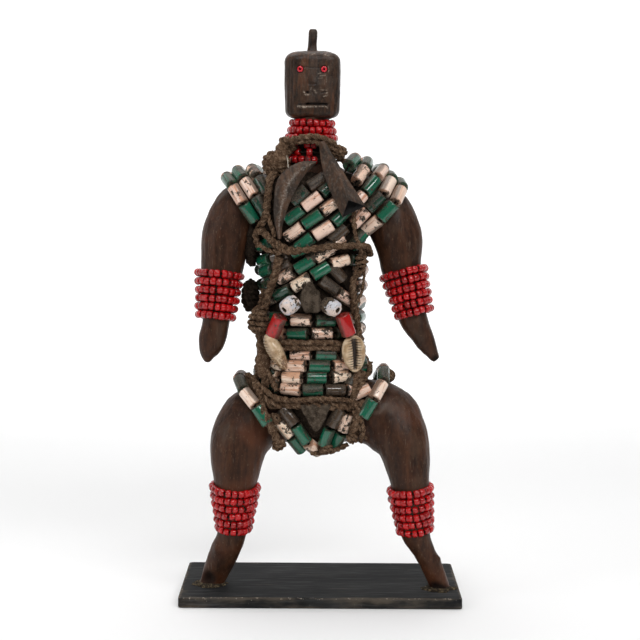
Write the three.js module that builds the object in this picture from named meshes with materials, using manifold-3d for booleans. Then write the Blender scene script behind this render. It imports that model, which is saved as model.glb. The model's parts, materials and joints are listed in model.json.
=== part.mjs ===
// A carved wooden doll, bound in strands of glass tube beads, cords and small pendants, on its board.
// Millimetres, +Z up, the doll looks along -Y, and the origin is the bottom centre of the board.
import * as THREE from "three";
import { RoundedBoxGeometry } from "three/addons/geometries/RoundedBoxGeometry.js";
import { mergeVertices } from "three/addons/utils/BufferGeometryUtils.js";
import Module from "manifold-3d";

const wasm = await Module();
wasm.setup();

// Driving dimensions
const GAP = 0.35; // left between two pieces that touch
const BOARD = { width: 164, depth: 80, thick: 6.2, corner: 3, edge: 0.7 };
const SOLE = BOARD.thick + GAP; // the height at which the feet are cut flat
const TUBE_BEAD = { radius: 3.45, length: 12.4, waist: 0.72, chamfer: 0.1 };
const FRONT = -0.3; // beads on wood that faces further back than this are plainer
const SEED_BEAD = { radius: 2.3, rows: 6 };
const GROOVE = 1.1; // how deep the rows of seed beads are parted
const SLIVERS = [0.12, 0.06]; // corners of a cut this close together are drawn into one
const FLAT = 0.04; // a face no higher than this is flat
const CORD_RADIUS = 2.2;
const UNEVEN = { step: 8, share: 0.12, wave: 2.4 }; // how a cord's thickness varies along it
const BEAD_LIFT = TUBE_BEAD.radius + 0.5; // a bead's centre line above the wood
const SIDES = { trunk: 14, limb: 10, sleeve: 12, pendant: 10, bead: 6, cord: 5 };
const BLEND = 5; // how softly the limbs run into the trunk
const EASE = 0.35; // how far the trunk's outline is eased between its sections
const HEAD = { x: -6.2, bottom: 281.2, top: 319.6, width: 33, depth: 26, corner: 4.6 };
const TAPER = { chin: 0.08, crown: 0.1 }; // how much narrower the head is at its two ends
const CREST = { x: -6.3, width: 5.2, depth: 4.8, top: 332.7, root: 4, corner: 1.6 };
const EYE = { y: -13.15, z: 308.9, left: -13.4, right: 0.3, radius: 1.9, hole: 0.6, long: 2.6 };
const MOUTH = { x: -6.1, z: 288.9, width: 18.4, high: 2.1, deep: 1.3 };
const LIP = { drop: 2.3, width: 16.4, high: 2.2, thick: 3, proud: 0.9 };
const NOSTRILS = { z: 295.7, left: -9.3, right: 0.9, radius: 1.1, deep: 1 };

// The trunk, from neck to crotch: [height, centre x, half width, half depth]
const TRUNK = [
  [284, -6.3, 10.3, 10.3],
  [263, -6.8, 11.2, 11.2],
  [257, -7, 13, 12.5],
  [251, -7, 21, 16],
  [245, -6.8, 31, 20],
  [236, -6.5, 35.5, 21.8],
  [224, -6.4, 34, 22.5],
  [208, -6.2, 29.5, 22.3],
  [190, -6.2, 26, 21.8],
  [150, -6, 25, 21.5],
  [136, -5, 27.5, 22.5],
  [123, -3, 31.5, 23.8],
  [110, -2, 32.5, 24],
  [100, -2, 29, 22.5],
  [93, -2.5, 20, 18],
  [88, -3, 9, 9.5],
];

// The limbs, from the trunk outwards: [x, y, z, half width, half depth]
const LIMBS = {
  leftArm: [
    [-18, 0, 236, 15, 15],
    [-45, -0.5, 231.4, 14.4, 15],
    [-55.3, -2.5, 214, 14.9, 14.6],
    [-58.2, -4, 195.5, 12.7, 12.6],
    [-61, -7, 176, 9.2, 9.2],
    [-61.8, -8.5, 162, 8.2, 7.8],
    [-64.2, -9.5, 151.5, 8.1, 6.6],
    [-66.4, -10, 144.5, 5.6, 5],
    [-67.2, -10.2, 138.5, 1.6, 2.2],
  ],
  rightArm: [
    [6, 0, 236, 15, 15],
    [33, -0.5, 231.4, 14.4, 15],
    [43.6, -2.5, 214, 14.8, 14.6],
    [46.6, -4, 195, 12, 12.2],
    [50.5, -7, 176, 9.4, 9.2],
    [53.3, -8.5, 166, 8.3, 7.8],
    [57.5, -9.5, 157.5, 7, 6.8],
    [61.7, -10, 150.4, 5.8, 5.6],
    [67.8, -10.5, 141, 2.4, 2.7],
  ],
  leftLeg: [
    [-10, 0, 110, 18, 20],
    [-36.5, -5, 106.6, 19, 18],
    [-45, -9.5, 97.4, 18.4, 16.5],
    [-49, -13, 86.6, 16.6, 15],
    [-50.4, -17.4, 65, 12, 12],
    [-50.6, -16.5, 52, 9.8, 9.8],
    [-52.4, -13.8, 37, 8.4, 8],
    [-56.4, -11, 27, 9, 8],
    [-61, -8.8, 16, 8.2, 7.4],
    [-67, -7.2, 1, 6.4, 6.6],
  ],
  rightLeg: [
    [6, 0, 110, 18, 20],
    [35, -5, 108, 19.4, 18],
    [44, -9.5, 98.6, 18, 16.5],
    [49.4, -13, 87.5, 14.8, 15],
    [53.4, -17.4, 64, 10.6, 11],
    [54.4, -17.2, 52, 9.4, 9.8],
    [56.4, -16.5, 38, 8.6, 8.2],
    [61.4, -15.7, 28, 6.6, 7.2],
    [66.2, -15, 18, 6.2, 6.8],
    [73, -14.8, 1, 5.4, 6.2],
  ],
};

// Rows of seed beads threaded round a limb: the centre and outer radius of the first and last row,
// and the radius that the sleeve of beads has inside
const BANDS = {
  neck_beads: {
    from: [-6.3, 0, 278.4],
    to: [-6.8, 0, 257.2],
    radii: [13.9, 18.6],
    inside: [11, 16.4],
  },
  left_arm_beads: {
    from: [-60, -4.6, 190],
    to: [-62.2, -7.8, 166],
    radii: [15, 12.6],
    inside: [13.2, 10],
  },
  right_arm_beads: {
    from: [48, -4.6, 191.4],
    to: [54, -7.8, 168.8],
    radii: [15, 12.4],
    inside: [13.2, 9.8],
  },
  left_leg_beads: {
    from: [-50.2, -17.4, 66.2],
    to: [-51.2, -14.4, 41.8],
    radii: [15.6, 11.6],
    inside: [14, 9.8],
  },
  right_leg_beads: {
    from: [52.5, -17.4, 65.6],
    to: [55.6, -16.2, 41.6],
    radii: [14.4, 11.8],
    inside: [12.8, 10],
  },
};

// Strands of tube beads, as points beside the wood that the strand is then laid on
const STRANDS = {
  right_shoulder_strand_1: [
    [30, 20, 232], [46, 9, 246], [49, -2, 248], [43, -18, 235], [36, -20, 226], [27, -14, 218],
    [17, -19, 207],
  ],
  right_shoulder_strand_2: [
    [20, 22, 228], [36, 14, 248], [43, -2, 252], [35, -18, 238], [27, -19, 230], [15, -21, 217],
  ],
  right_shoulder_strand_3: [
    [10, 22, 224], [24, 18, 244], [36, -2, 254], [27, -18, 241], [22, -20, 236], [13, -21, 228],
  ],
  right_shoulder_strand_4: [[2, 22, 230], [16, 16, 248], [26, -2, 254], [21, -17, 248], [14, -21, 239]],
  right_shoulder_strand_5: [[17, 6, 254], [19, -4, 256], [14, -15, 252], [10, -20, 246]],
  left_shoulder_strand_1: [
    [-42, 20, 232], [-55, 9, 247], [-58, -2, 250], [-48, -19, 236], [-42, -18, 227], [-36, -16, 218],
  ],
  left_shoulder_strand_2: [
    [-32, 22, 228], [-46, 14, 248], [-51, -2, 253], [-40, -19, 238], [-35, -20, 231], [-31, -20, 225],
  ],
  left_shoulder_strand_3: [
    [-24, 22, 236], [-36, 14, 250], [-42, -2, 253], [-34, -19, 242], [-30, -21, 234],
  ],
  chest_strand_1: [[-21, -25, 222], [-16, -26, 226], [-5, -26, 234], [2, -24, 241], [9, -21, 248]],
  chest_strand_2: [[-20, -24, 213], [-14, -26, 217], [-7, -27, 223], [3, -26, 230], [11, -23, 236]],
  chest_strand_3: [[-14, -25, 207], [-8, -26, 212], [0, -26, 216], [8, -24, 223], [15, -22, 229]],
  waist_cross_strand_1: [[-38, 2, 197], [-31, -17, 200], [-19, -25, 204], [-8, -26, 208]],
  waist_cross_strand_2: [
    [-38, -1, 184], [-27, -18, 187], [-11, -26, 197], [-1, -26, 203], [7, -24, 208],
  ],
  waist_cross_strand_3: [
    [-38, -1, 173], [-29, -15, 177], [-12, -25, 187], [9, -23, 200], [18, -19, 200], [25, -6, 198],
  ],
  waist_cross_strand_4: [[-3, -26, 191], [3, -24, 186], [11, -21, 180], [20, -12, 174], [26, 2, 173]],
  waist_row_front: [
    [-34, -14, 126.5], [-29, -20, 126], [-19, -25, 125.6], [-5, -28, 125.4], [7, -27, 125.4],
    [20, -22, 125], [27, -18, 125.4],
  ],
  left_hip_strand: [
    [-42, 18, 120], [-46, 8, 126], [-47, -4, 128], [-44, -17, 121], [-37, -24, 113], [-30, -25, 104],
  ],
  right_hip_strand: [
    [32, 18, 124], [36, 8, 130], [36, -4, 132], [35, -17, 124], [28, -24, 115], [17, -24, 102],
  ],
  crotch_strand_1: [[-28, -25, 113], [-25, -25, 108], [-22, -24, 101], [-17, -22, 95], [-8, -16, 86]],
  crotch_strand_2: [[-22, -25, 115], [-19, -26, 109], [-12, -26, 100], [-6, -22, 91], [-4, -16, 87]],
  crotch_strand_3: [[10, -27, 114], [7, -27, 110], [3, -26, 100], [-1, -23, 92]],
  crotch_strand_4: [[15, -26, 115], [14, -26, 108], [11, -23, 96], [5, -20, 90]],
  back_crotch_strand: [[-24, 24, 116], [-14, 24, 104], [-3, 24, 96], [8, 24, 104], [18, 24, 116]],
};

// Strands that lie over another layer, and how much higher than the rest
const RAISED = {
  right_shoulder_strand_3: 2,
  right_shoulder_strand_4: 4,
  right_shoulder_strand_5: 5,
  left_shoulder_strand_1: 1,
  left_shoulder_strand_2: 1,
  left_hip_strand: 3.5,
  right_hip_strand: 3.5,
};

// Rows of tube beads that run round the waist: heights at the front, and rise towards the right
const WAIST_ROWS = [
  { height: 165.6, rise: 0 },
  { height: 157.6, rise: 0.03 },
  { height: 145.9, rise: 0 },
  { height: 139.1, rise: 0 },
  { height: 132.3, rise: 0.01 },
];
const BACK_ROWS = [175, 184, 193];
const WAIST = { x: -6, wide: 30, deep: 26, points: 12 }; // the ring that the rows are laid from
const BACK_REACH = THREE.MathUtils.degToRad(100); // from the middle of the back to each flank

// Fibre cords lashed over the beads: height above the wood, and size against CORD_RADIUS
const CORDS = {
  chest_cord: {
    lift: 9.8,
    size: 1,
    closed: true,
    route: [
      [-35, -20, 217], [-22, -27, 208], [-13, -30, 206], [2, -30, 208], [15, -26, 208.6],
      [24, -17, 208], [30, 0, 206, 6], [20, 18, 203, 3], [-6, 25, 202, 3], [-31, 18, 204, 3],
      [-42, 0, 210, 6],
    ],
  },
  left_neck_cord: {
    lift: 8.6,
    size: 1.15,
    route: [
      [-20, -16, 264], [-27, -21, 254], [-30, -24, 246], [-31, -25, 234], [-33, -24, 222],
    ],
  },
  left_side_cord: {
    lift: 9.6,
    size: 1.2,
    route: [
      [-24, -27, 202], [-27, -24, 190], [-31, -20, 177], [-34, -15, 163], [-34, -15, 152],
      [-33, -19, 138], [-32, -24, 127],
    ],
  },
  right_side_cord: {
    lift: 10,
    size: 1,
    route: [
      [22, -21, 203], [22, -18, 196], [18, -22, 190], [17, -22, 183], [20, -18, 159], [20, -20, 148],
      [21, -22, 132],
    ],
  },
  waist_cord: {
    lift: 4.2,
    size: 1,
    closed: true,
    route: [
      [-12, -28, 152], [2, -28, 152], [18, -20, 152], [26, 0, 152], [10, 24, 152], [-20, 24, 152],
      [-38, 0, 152], [-28, -18, 151],
    ],
  },
  hip_belt: {
    lift: 5,
    size: 1.7,
    closed: true,
    route: [
      [-31, -26, 119], [-21, -29, 117.6], [-6, -32, 117.4], [8, -31, 117], [19, -29, 117],
      [29, -26, 119], [38, 4, 124], [22, 26, 118], [-4, 28, 115], [-26, 26, 118], [-44, 4, 124],
    ],
  },
  left_groin_rope: {
    lift: 8.6,
    size: 1.15,
    route: [
      [-36, -27, 116], [-31, -29, 107], [-24, -25, 93],
    ],
  },
  right_groin_rope: {
    lift: 8.6,
    size: 1.1,
    route: [
      [20, -29, 114], [20, -29, 107], [17, -27, 97],
    ],
  },
};

// A vector from its three numbers.
const at = ([x, y, z]) => new THREE.Vector3(x, y, z);

// Turns a closed three.js geometry into a solid that can be joined and cut.
function solid(geometry) {
  const bare = geometry.clone();
  bare.deleteAttribute("normal");
  bare.deleteAttribute("uv");
  const merged = mergeVertices(bare, 1e-4);
  return new wasm.Manifold(
    new wasm.Mesh({
      numProp: 3,
      vertProperties: merged.attributes.position.array,
      triVerts: new Uint32Array(merged.index.array),
    }),
  );
}

// Turns a solid back into a three.js geometry with flat faces.
function geometryOf(body) {
  const mesh = body.getMesh();
  const geometry = new THREE.BufferGeometry();
  geometry.setAttribute("position", new THREE.BufferAttribute(mesh.vertProperties, 3));
  geometry.setIndex(new THREE.BufferAttribute(mesh.triVerts, 1));
  const flat = geometry.toNonIndexed();
  flat.computeVertexNormals();
  return flat;
}

// Skins a row of equal rings: capped at both ends, or closed on itself.
function skinRings(rings, closed = false) {
  const sides = rings[0].length;
  const points = rings.flat();
  const faces = [];
  const spans = closed ? rings.length : rings.length - 1;
  for (let i = 0; i < spans; i++) {
    const here = i * sides;
    const next = ((i + 1) % rings.length) * sides;
    for (let k = 0; k < sides; k++) {
      const j = (k + 1) % sides;
      faces.push(here + k, next + j, next + k, here + k, here + j, next + j);
    }
  }
  if (!closed) {
    const last = (rings.length - 1) * sides;
    for (let k = 1; k < sides - 1; k++) {
      faces.push(0, k + 1, k, last, last + k, last + k + 1);
    }
  }
  const geometry = new THREE.BufferGeometry().setFromPoints(points);
  geometry.setIndex(faces);
  const body = solid(geometry);
  if (body.volume() > 0) return body;
  geometry.setIndex(faces.reverse());
  return solid(geometry);
}

// One ring of a section, from two half axes that are vectors.
function ring(centre, across, outward, sides) {
  const points = [];
  for (let k = 0; k < sides; k++) {
    const turn = ((k + 0.5) / sides) * Math.PI * 2;
    points.push(
      centre.clone().addScaledVector(across, Math.cos(turn)).addScaledVector(outward, Math.sin(turn)),
    );
  }
  return points;
}

// Smooth sections of a limb, a given number to each span between its hand-placed ones.
function limbSections(sections, perSpan) {
  const spine = new THREE.CatmullRomCurve3(sections.map(at), false, "catmullrom");
  const girth = new THREE.CatmullRomCurve3(
    sections.map(([, , , wide, deep]) => new THREE.Vector3(wide, deep, 0)),
    false,
    "catmullrom",
  );
  const count = (sections.length - 1) * perSpan;
  return Array.from({ length: count + 1 }, (_, i) => ({
    centre: spine.getPoint(i / count),
    along: spine.getTangent(i / count),
    half: girth.getPoint(i / count),
  }));
}

// The trunk's centre and half axes at a height.
function trunkAt(height) {
  const z = THREE.MathUtils.clamp(height, TRUNK.at(-1)[0], TRUNK[0][0]);
  const i = Math.min(
    TRUNK.findIndex(([level], k) => k > 0 && level <= z) - 1,
    TRUNK.length - 2,
  );
  const [upper, lower] = [TRUNK[i], TRUNK[i + 1]];
  const straight = THREE.MathUtils.inverseLerp(lower[0], upper[0], z);
  const eased = THREE.MathUtils.smoothstep(z, lower[0], upper[0]);
  const share = THREE.MathUtils.lerp(straight, eased, EASE);
  const mix = (k) => THREE.MathUtils.lerp(lower[k], upper[k], share);
  return { x: mix(1), wide: mix(2), deep: mix(3) };
}

// The wood's surface as a distance, for laying strands and cords on it
const limbSpans = Object.values(LIMBS).map((sections) => limbSections(sections, 3));

function trunkDistance(p) {
  const { x, wide, deep } = trunkAt(p.z);
  const radial = (Math.hypot((p.x - x) / wide, p.y / deep) - 1) * Math.min(wide, deep);
  return Math.max(radial, TRUNK.at(-1)[0] - p.z, p.z - TRUNK[0][0]);
}

const axis = new THREE.Line3();
const nearest = new THREE.Vector3();

function limbDistance(sections, p) {
  let least = Infinity;
  for (let i = 0; i < sections.length - 1; i++) {
    const [a, b] = [sections[i], sections[i + 1]];
    axis.set(a.centre, b.centre);
    const f = axis.closestPointToPointParameter(p, true);
    axis.at(f, nearest);
    const wide = THREE.MathUtils.lerp(a.half.x, b.half.x, f);
    const deep = THREE.MathUtils.lerp(a.half.y, b.half.y, f);
    const side = Math.hypot(p.x - nearest.x, p.z - nearest.z);
    const d = (Math.hypot(side / wide, (p.y - nearest.y) / deep) - 1) * Math.min(wide, deep);
    least = Math.min(least, d);
  }
  return least;
}

function woodField(p) {
  return limbSpans.reduce((sum, sections) => {
    const d = limbDistance(sections, p);
    const h = Math.max(BLEND - Math.abs(sum - d), 0) / BLEND;
    return Math.min(sum, d) - (h * h * BLEND) / 4;
  }, trunkDistance(p));
}

const NUDGE = 0.05;
const LEAST_SLOPE = 0.3;
const SETTLES = 14; // how often a point is moved before it lies on the wood
const STEPS = ["x", "y", "z"].map((key) => new THREE.Vector3().setComponent("xyz".indexOf(key), NUDGE));

// Distance to the wood at a point, and the direction straight out of it.
function wood(p) {
  const here = woodField(p);
  const out = new THREE.Vector3(
    ...STEPS.map((step) => (woodField(p.clone().add(step)) - here) / NUDGE),
  );
  const slope = Math.max(out.length(), LEAST_SLOPE);
  return { distance: here / slope, out: out.normalize() };
}

// Moves a point straight in or out until it lies at a height above the wood.
function settle(point, lift) {
  const p = point.clone();
  let out = null;
  for (let i = 0; i < SETTLES; i++) {
    const found = wood(p);
    out = found.out;
    p.addScaledVector(out, lift - found.distance);
  }
  return { point: p, out };
}

// Strands, cords and bands

// A route's fourth number is the lift there, where it isn't the route's own.
function liftsOf(route, lift) {
  return route.map((p) => p[3] ?? lift);
}

function routeCurve(route, lift, closed) {
  const lifts = liftsOf(route, lift);
  const settled = route.map((p, i) => settle(at(p), lifts[i]).point);
  return new THREE.CatmullRomCurve3(settled, closed, "centripetal");
}

// Stations along a route that is laid on the wood at a lift.
function layRoute(route, lift, shares, closed) {
  const curve = routeCurve(route, lift, closed);
  const knots = liftsOf(route, lift).map((l) => new THREE.Vector3(l, 0, 0));
  const lifts = new THREE.CatmullRomCurve3(knots, closed, "centripetal");
  return shares.map((share) => {
    const liftHere = lifts.getPoint(curve.getUtoTmapping(share)).x;
    const { point, out } = settle(curve.getPointAt(share), liftHere);
    const along = curve.getTangentAt(share);
    const across = along.clone().cross(out).normalize();
    return { point, along, across, out: across.clone().cross(along).normalize() };
  });
}

function routeLength(route, lift, closed) {
  return routeCurve(route, lift, closed).getLength();
}

// A tube of varying radius along stations, grown by pad on every side.
function tubeAlong(stations, radii, sides, pad, closed) {
  const rings = stations.map((s, i) => {
    const end = closed ? 0 : i === 0 ? -pad : i === stations.length - 1 ? pad : 0;
    const centre = s.point.clone().addScaledVector(s.along, end);
    const r = radii[i] + pad;
    return ring(centre, s.across.clone().multiplyScalar(r), s.out.clone().multiplyScalar(r), sides);
  });
  return skinRings(rings, closed);
}

// Tube beads threaded end to end: each a prism that narrows where it meets the next.
// Behind the front it is plainer, one straight run to a bead, and the grown shape has no grooves.
function beadStrand(route, lift, closed = false) {
  const beads = Math.max(2, Math.round(routeLength(route, lift, closed) / TUBE_BEAD.length));
  const joints = Array.from({ length: closed ? beads : beads + 1 }, (_, i) => i / beads);
  const laid = layRoute(route, lift, joints, closed);
  const { radius, waist, chamfer } = TUBE_BEAD;
  const shares = [];
  const radii = [];
  joints.forEach((share, i) => {
    const plain = laid[i].out.y > FRONT;
    shares.push(share);
    radii.push(plain ? radius : radius * waist);
    if (plain || (!closed && i === beads)) return;
    shares.push(share + chamfer / beads, share + (1 - chamfer) / beads);
    radii.push(radius, radius);
  });
  const stations = layRoute(route, lift, shares, closed);
  const isEnd = (i) => !closed && (i === 0 || i === stations.length - 1);
  const wide = stations.filter((_, i) => radii[i] === radius || isEnd(i));
  return (pad) =>
    pad > 0
      ? tubeAlong(wide, wide.map(() => radius), SIDES.bead, pad, closed)
      : tubeAlong(stations, radii, SIDES.bead, pad, closed);
}

// A fibre cord, a little uneven along its length.
function fibreCord({ route, lift, size, closed = false }) {
  const steps = Math.round(routeLength(route, lift, closed) / UNEVEN.step);
  const count = closed ? steps : steps + 1;
  const shares = Array.from({ length: count }, (_, i) => i / steps);
  const radii = shares.map((_, i) => CORD_RADIUS * size * (1 + UNEVEN.share * Math.sin(i * UNEVEN.wave)));
  const stations = layRoute(route, lift, shares, closed);
  return (pad) => tubeAlong(stations, radii, SIDES.cord, pad, closed);
}

// Rows of seed beads round a limb, as one ribbed sleeve that clears the wood.
function seedBand({ from, to, radii, inside }) {
  const top = at(from);
  const run = at(to).sub(top);
  const length = run.length();
  const { rows, radius: margin } = SEED_BEAD;
  const rowAt = (i) => i / (rows - 1);
  return (pad) => {
    const profile = [];
    for (let i = 0; i < rows; i++) {
      const r = THREE.MathUtils.lerp(radii[0], radii[1], rowAt(i)) + pad;
      const y = -length * rowAt(i);
      const above = y + margin + (i === 0 ? pad : 0);
      if (pad === 0 || i === 0) profile.push([r - GROOVE, above]);
      if (pad === 0 || i === 0 || i === rows - 1) profile.push([r, y]);
    }
    profile.push([radii[1] - GROOVE + pad, -length - margin - pad]);
    profile.push([inside[1], -length - margin - pad]);
    profile.push([inside[0], margin + pad]);
    profile.push(profile[0]);
    const outline = profile.map(([r, y]) => new THREE.Vector2(r, y)).reverse();
    const sleeve = new THREE.LatheGeometry(outline, SIDES.sleeve);
    const down = new THREE.Vector3(0, -1, 0);
    sleeve.applyQuaternion(new THREE.Quaternion().setFromUnitVectors(down, run.clone().normalize()));
    sleeve.translate(top.x, top.y, top.z);
    return upright(solid(sleeve));
  };
}

// A solid with its faces pointing out, whichever way its geometry was wound.
function upright(body) {
  if (body.volume() > 0) return body;
  const mesh = body.getMesh();
  return new wasm.Manifold(
    new wasm.Mesh({
      numProp: 3,
      vertProperties: mesh.vertProperties,
      triVerts: mesh.triVerts.slice().reverse(),
    }),
  );
}

// The carved figure

function limb(sections, pad) {
  const rings = limbSections(sections, 2).map(({ centre, along, half }) => {
    const outward = new THREE.Vector3(0, 1, 0).addScaledVector(along, -along.y).normalize();
    const across = along.clone().cross(outward).multiplyScalar(half.x + pad);
    return ring(centre, across, outward.multiplyScalar(half.y + pad), SIDES.limb);
  });
  return skinRings(rings);
}

function trunk(pad) {
  const rings = TRUNK.map(([height, x, wide, deep]) =>
    ring(
      new THREE.Vector3(x, 0, height),
      new THREE.Vector3(wide + pad, 0, 0),
      new THREE.Vector3(0, deep + pad, 0),
      SIDES.trunk,
    ),
  );
  return skinRings(rings);
}

// The head is a block with rounded corners that narrows a little to the chin and the crown.
function head(pad) {
  const { x, bottom, top, width, depth, corner } = HEAD;
  const size = [width, depth, top - bottom].map((side) => side + 2 * pad);
  const block = new RoundedBoxGeometry(...size, 2, corner);
  const corners = block.attributes.position;
  const half = (top - bottom) / 2;
  for (let i = 0; i < corners.count; i++) {
    const share = corners.getZ(i) / half;
    const narrow = 1 - (share < 0 ? TAPER.chin : TAPER.crown) * share * share;
    corners.setX(i, corners.getX(i) * narrow);
  }
  block.translate(x, 0, (top + bottom) / 2);
  return solid(block);
}

function box(size, centre) {
  const geometry = new THREE.BoxGeometry(...size);
  geometry.translate(...centre);
  return solid(geometry);
}

// A short cylinder that runs along Y.
function peg(radius, long, centre, sides) {
  const geometry = new THREE.CylinderGeometry(radius, radius, long, sides);
  geometry.translate(...centre);
  return solid(geometry);
}

// The crest is a plain peg with eased corners that reaches down into the head.
function crest(pad) {
  const { x, width, depth, top, root, corner } = CREST;
  const high = top - HEAD.top + root;
  const blank = new RoundedBoxGeometry(width + 2 * pad, depth + 2 * pad, high, 1, corner);
  blank.translate(x, 0, top - high / 2 + pad);
  return solid(blank);
}

function face(carved) {
  const front = -HEAD.depth / 2;
  const lip = new RoundedBoxGeometry(LIP.width, LIP.thick, LIP.high, 1, LIP.proud);
  lip.translate(MOUTH.x, front + LIP.thick / 2 - LIP.proud, MOUTH.z - LIP.drop);
  let body = carved.add(solid(lip));
  body = body.subtract(box([MOUTH.width, 2 * MOUTH.deep, MOUTH.high], [MOUTH.x, front, MOUTH.z]));
  for (const x of [NOSTRILS.left, NOSTRILS.right]) {
    body = body.subtract(peg(NOSTRILS.radius, 2 * NOSTRILS.deep, [x, front, NOSTRILS.z], 8));
  }
  for (const x of [EYE.left, EYE.right]) {
    body = body.subtract(peg(EYE.radius + GAP, EYE.long, [x, front, EYE.z], SIDES.pendant));
  }
  return body;
}

function woodenFigure(pad) {
  let body = trunk(pad).add(head(pad)).add(crest(pad));
  for (const sections of Object.values(LIMBS)) body = body.add(limb(sections, pad));
  const cut = { width: 400, depth: 200, high: 20 }; // all that reaches below the soles
  const low = box([cut.width, cut.depth, cut.high], [0, 0, SOLE - pad - cut.high / 2]);
  body = body.subtract(low);
  return pad > 0 ? body : face(body);
}

// Pendants

// A ring bead with its hole along Y.
function eyeBead(x) {
  const { radius, hole, long, y, z } = EYE;
  const half = long / 2;
  const profile = [
    [hole, -half],
    [radius * 0.8, -half],
    [radius, 0],
    [radius * 0.8, half],
    [hole, half],
    [hole, -half],
  ].map(([r, h]) => new THREE.Vector2(r, h));
  return (pad) => {
    const bead = new THREE.LatheGeometry(profile, SIDES.pendant);
    bead.scale(1 + pad / radius, 1, 1 + pad / radius);
    bead.translate(x, y, z);
    return upright(solid(bead));
  };
}

// Thick beads with a hole, each laid between two end points
const WHITE_BEAD = { radius: 4.9, endRadius: 3.7, hole: 1.1 };
const RED_TUBE = { radius: 4, endRadius: 3.8, hole: 1.2 };
const BARRELS = {
  white_bead_left: { start: [-21.6, -35.5, 172.4], end: [-14.8, -29, 177.2], kind: WHITE_BEAD },
  white_bead_right: { start: [1.1, -29, 175.9], end: [9.3, -35.5, 172.3], kind: WHITE_BEAD },
  red_tube_left: { start: [-23.6, -31.5, 168.4], end: [-28.4, -27.5, 157], kind: RED_TUBE },
  red_tube_right: { start: [11.6, -30.5, 169.4], end: [15.8, -28, 157.6], kind: RED_TUBE },
};
const UP_THE_AXIS = new THREE.Vector3(0, 1, 0); // the way that three.js lays its turned shapes
function barrelBead({ start, end, kind: { radius, endRadius, hole } }) {
  const [a, b] = [at(start), at(end)];
  const run = b.clone().sub(a);
  const half = run.length() / 2;
  return (pad) => {
    const profile = [
      [hole, -half - pad],
      [endRadius + pad, -half - pad],
      [radius + pad, -half * 0.45],
      [radius + pad, half * 0.45],
      [endRadius + pad, half + pad],
      [hole, half + pad],
      [hole, -half - pad],
    ].map(([r, h]) => new THREE.Vector2(r, h));
    const bead = new THREE.LatheGeometry(profile, SIDES.pendant);
    const direction = run.clone().normalize();
    bead.applyQuaternion(new THREE.Quaternion().setFromUnitVectors(UP_THE_AXIS, direction));
    const middle = a.clone().add(b).multiplyScalar(0.5);
    bead.translate(middle.x, middle.y, middle.z);
    return upright(solid(bead));
  };
}

// A cowrie shell: an egg shape with the long slit of its mouth.
const COWRIE = { length: 21.5, width: 14.3, thick: 8.4, slit: { wide: 1.6, deep: 3, long: 17.2 } };
const COWRIES = {
  cowrie_left: { centre: [-26.3, -27, 147.2], turn: [0, -0.51, -1.4] },
  cowrie_right: { centre: [18.6, -27, 146.6], turn: [0, 0, 0.5] },
};
function cowrie({ centre, turn }) {
  const { length, width, thick, slit } = COWRIE;
  return (pad) => {
    const egg = new THREE.SphereGeometry(1, 12, 8);
    egg.scale(width / 2 + pad, thick / 2 + pad, length / 2 + pad);
    const mouth = new THREE.BoxGeometry(slit.wide, slit.deep, slit.long);
    mouth.translate(0, -thick / 2, 0);
    const shell = pad > 0 ? solid(egg) : solid(egg).subtract(solid(mouth));
    const place = new THREE.Matrix4().makeRotationFromEuler(new THREE.Euler(...turn));
    place.setPosition(...centre);
    return shell.transform(place.elements);
  };
}

// A bell folded from sheet iron: a ridge in front and two side corners, with an open mouth.
const BELL = {
  wall: 1.1,
  tip: [[-1, -23.5, 267.6], [1, -20.5, 267.9], [-2.6, -20.5, 267.5]],
  middle: [[8.7, -33, 249.3], [12.9, -28, 249], [0.7, -28, 248.1]],
  mouth: [[14.2, -38.5, 235], [23.9, -31, 231.5], [11.4, -31, 225.5]],
  hollowFrom: 0.45, // where its hollow starts, as a share of the way from tip to middle
};
function foldedBell(pad) {
  const sections = [BELL.tip, BELL.middle, BELL.mouth].map((section) => section.map(at));
  const scaled = (section, grow) => {
    const middle = section[0].clone().add(section[1]).add(section[2]).divideScalar(3);
    return section.map((p) => p.clone().addScaledVector(p.clone().sub(middle).normalize(), grow));
  };
  const shell = skinRings(sections.map((section) => scaled(section, pad * 2)));
  if (pad > 0) return shell;
  const inward = -BELL.wall * 2;
  const [tip, middle, mouth] = sections;
  const past = mouth.map((p, k) => p.clone().addScaledVector(p.clone().sub(middle[k]).normalize(), 2));
  const start = tip.map((p, k) => p.clone().lerp(middle[k], BELL.hollowFrom));
  const hollow = skinRings([start, middle, past].map((section) => scaled(section, inward)));
  return shell.subtract(hollow);
}

// A crescent of folded iron that hangs beside the bell, ridged along its outer face.
const CRESCENT = {
  spine: [
    [-4, -25, 256],
    [-12.2, -28, 251.2],
    [-18, -30, 244.4],
    [-21.8, -31, 234.7],
    [-24.7, -30.5, 223.4],
    [-24.4, -30, 212.4],
  ],
  halfWidth: [1.4, 4.8, 6.6, 5.2, 3.1, 1.4],
  steps: 10,
  ridge: 2.4,
  behind: 1.2,
};
function ironCrescent(pad) {
  const curve = new THREE.CatmullRomCurve3(CRESCENT.spine.map(at));
  const width = new THREE.CatmullRomCurve3(CRESCENT.halfWidth.map((w) => new THREE.Vector3(w, 0, 0)));
  const steps = CRESCENT.steps;
  const rings = Array.from({ length: steps + 1 }, (_, i) => {
    const along = curve.getTangent(i / steps);
    const outward = new THREE.Vector3(0, -1, 0).addScaledVector(along, along.y).normalize();
    const across = along.clone().cross(outward);
    const half = width.getPoint(i / steps).x + pad;
    const centre = curve.getPoint(i / steps);
    return [
      centre.clone().addScaledVector(across, half),
      centre.clone().addScaledVector(outward, CRESCENT.ridge + pad),
      centre.clone().addScaledVector(across, -half),
      centre.clone().addScaledVector(outward, -CRESCENT.behind - pad),
    ];
  });
  return skinRings(rings);
}

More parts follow.
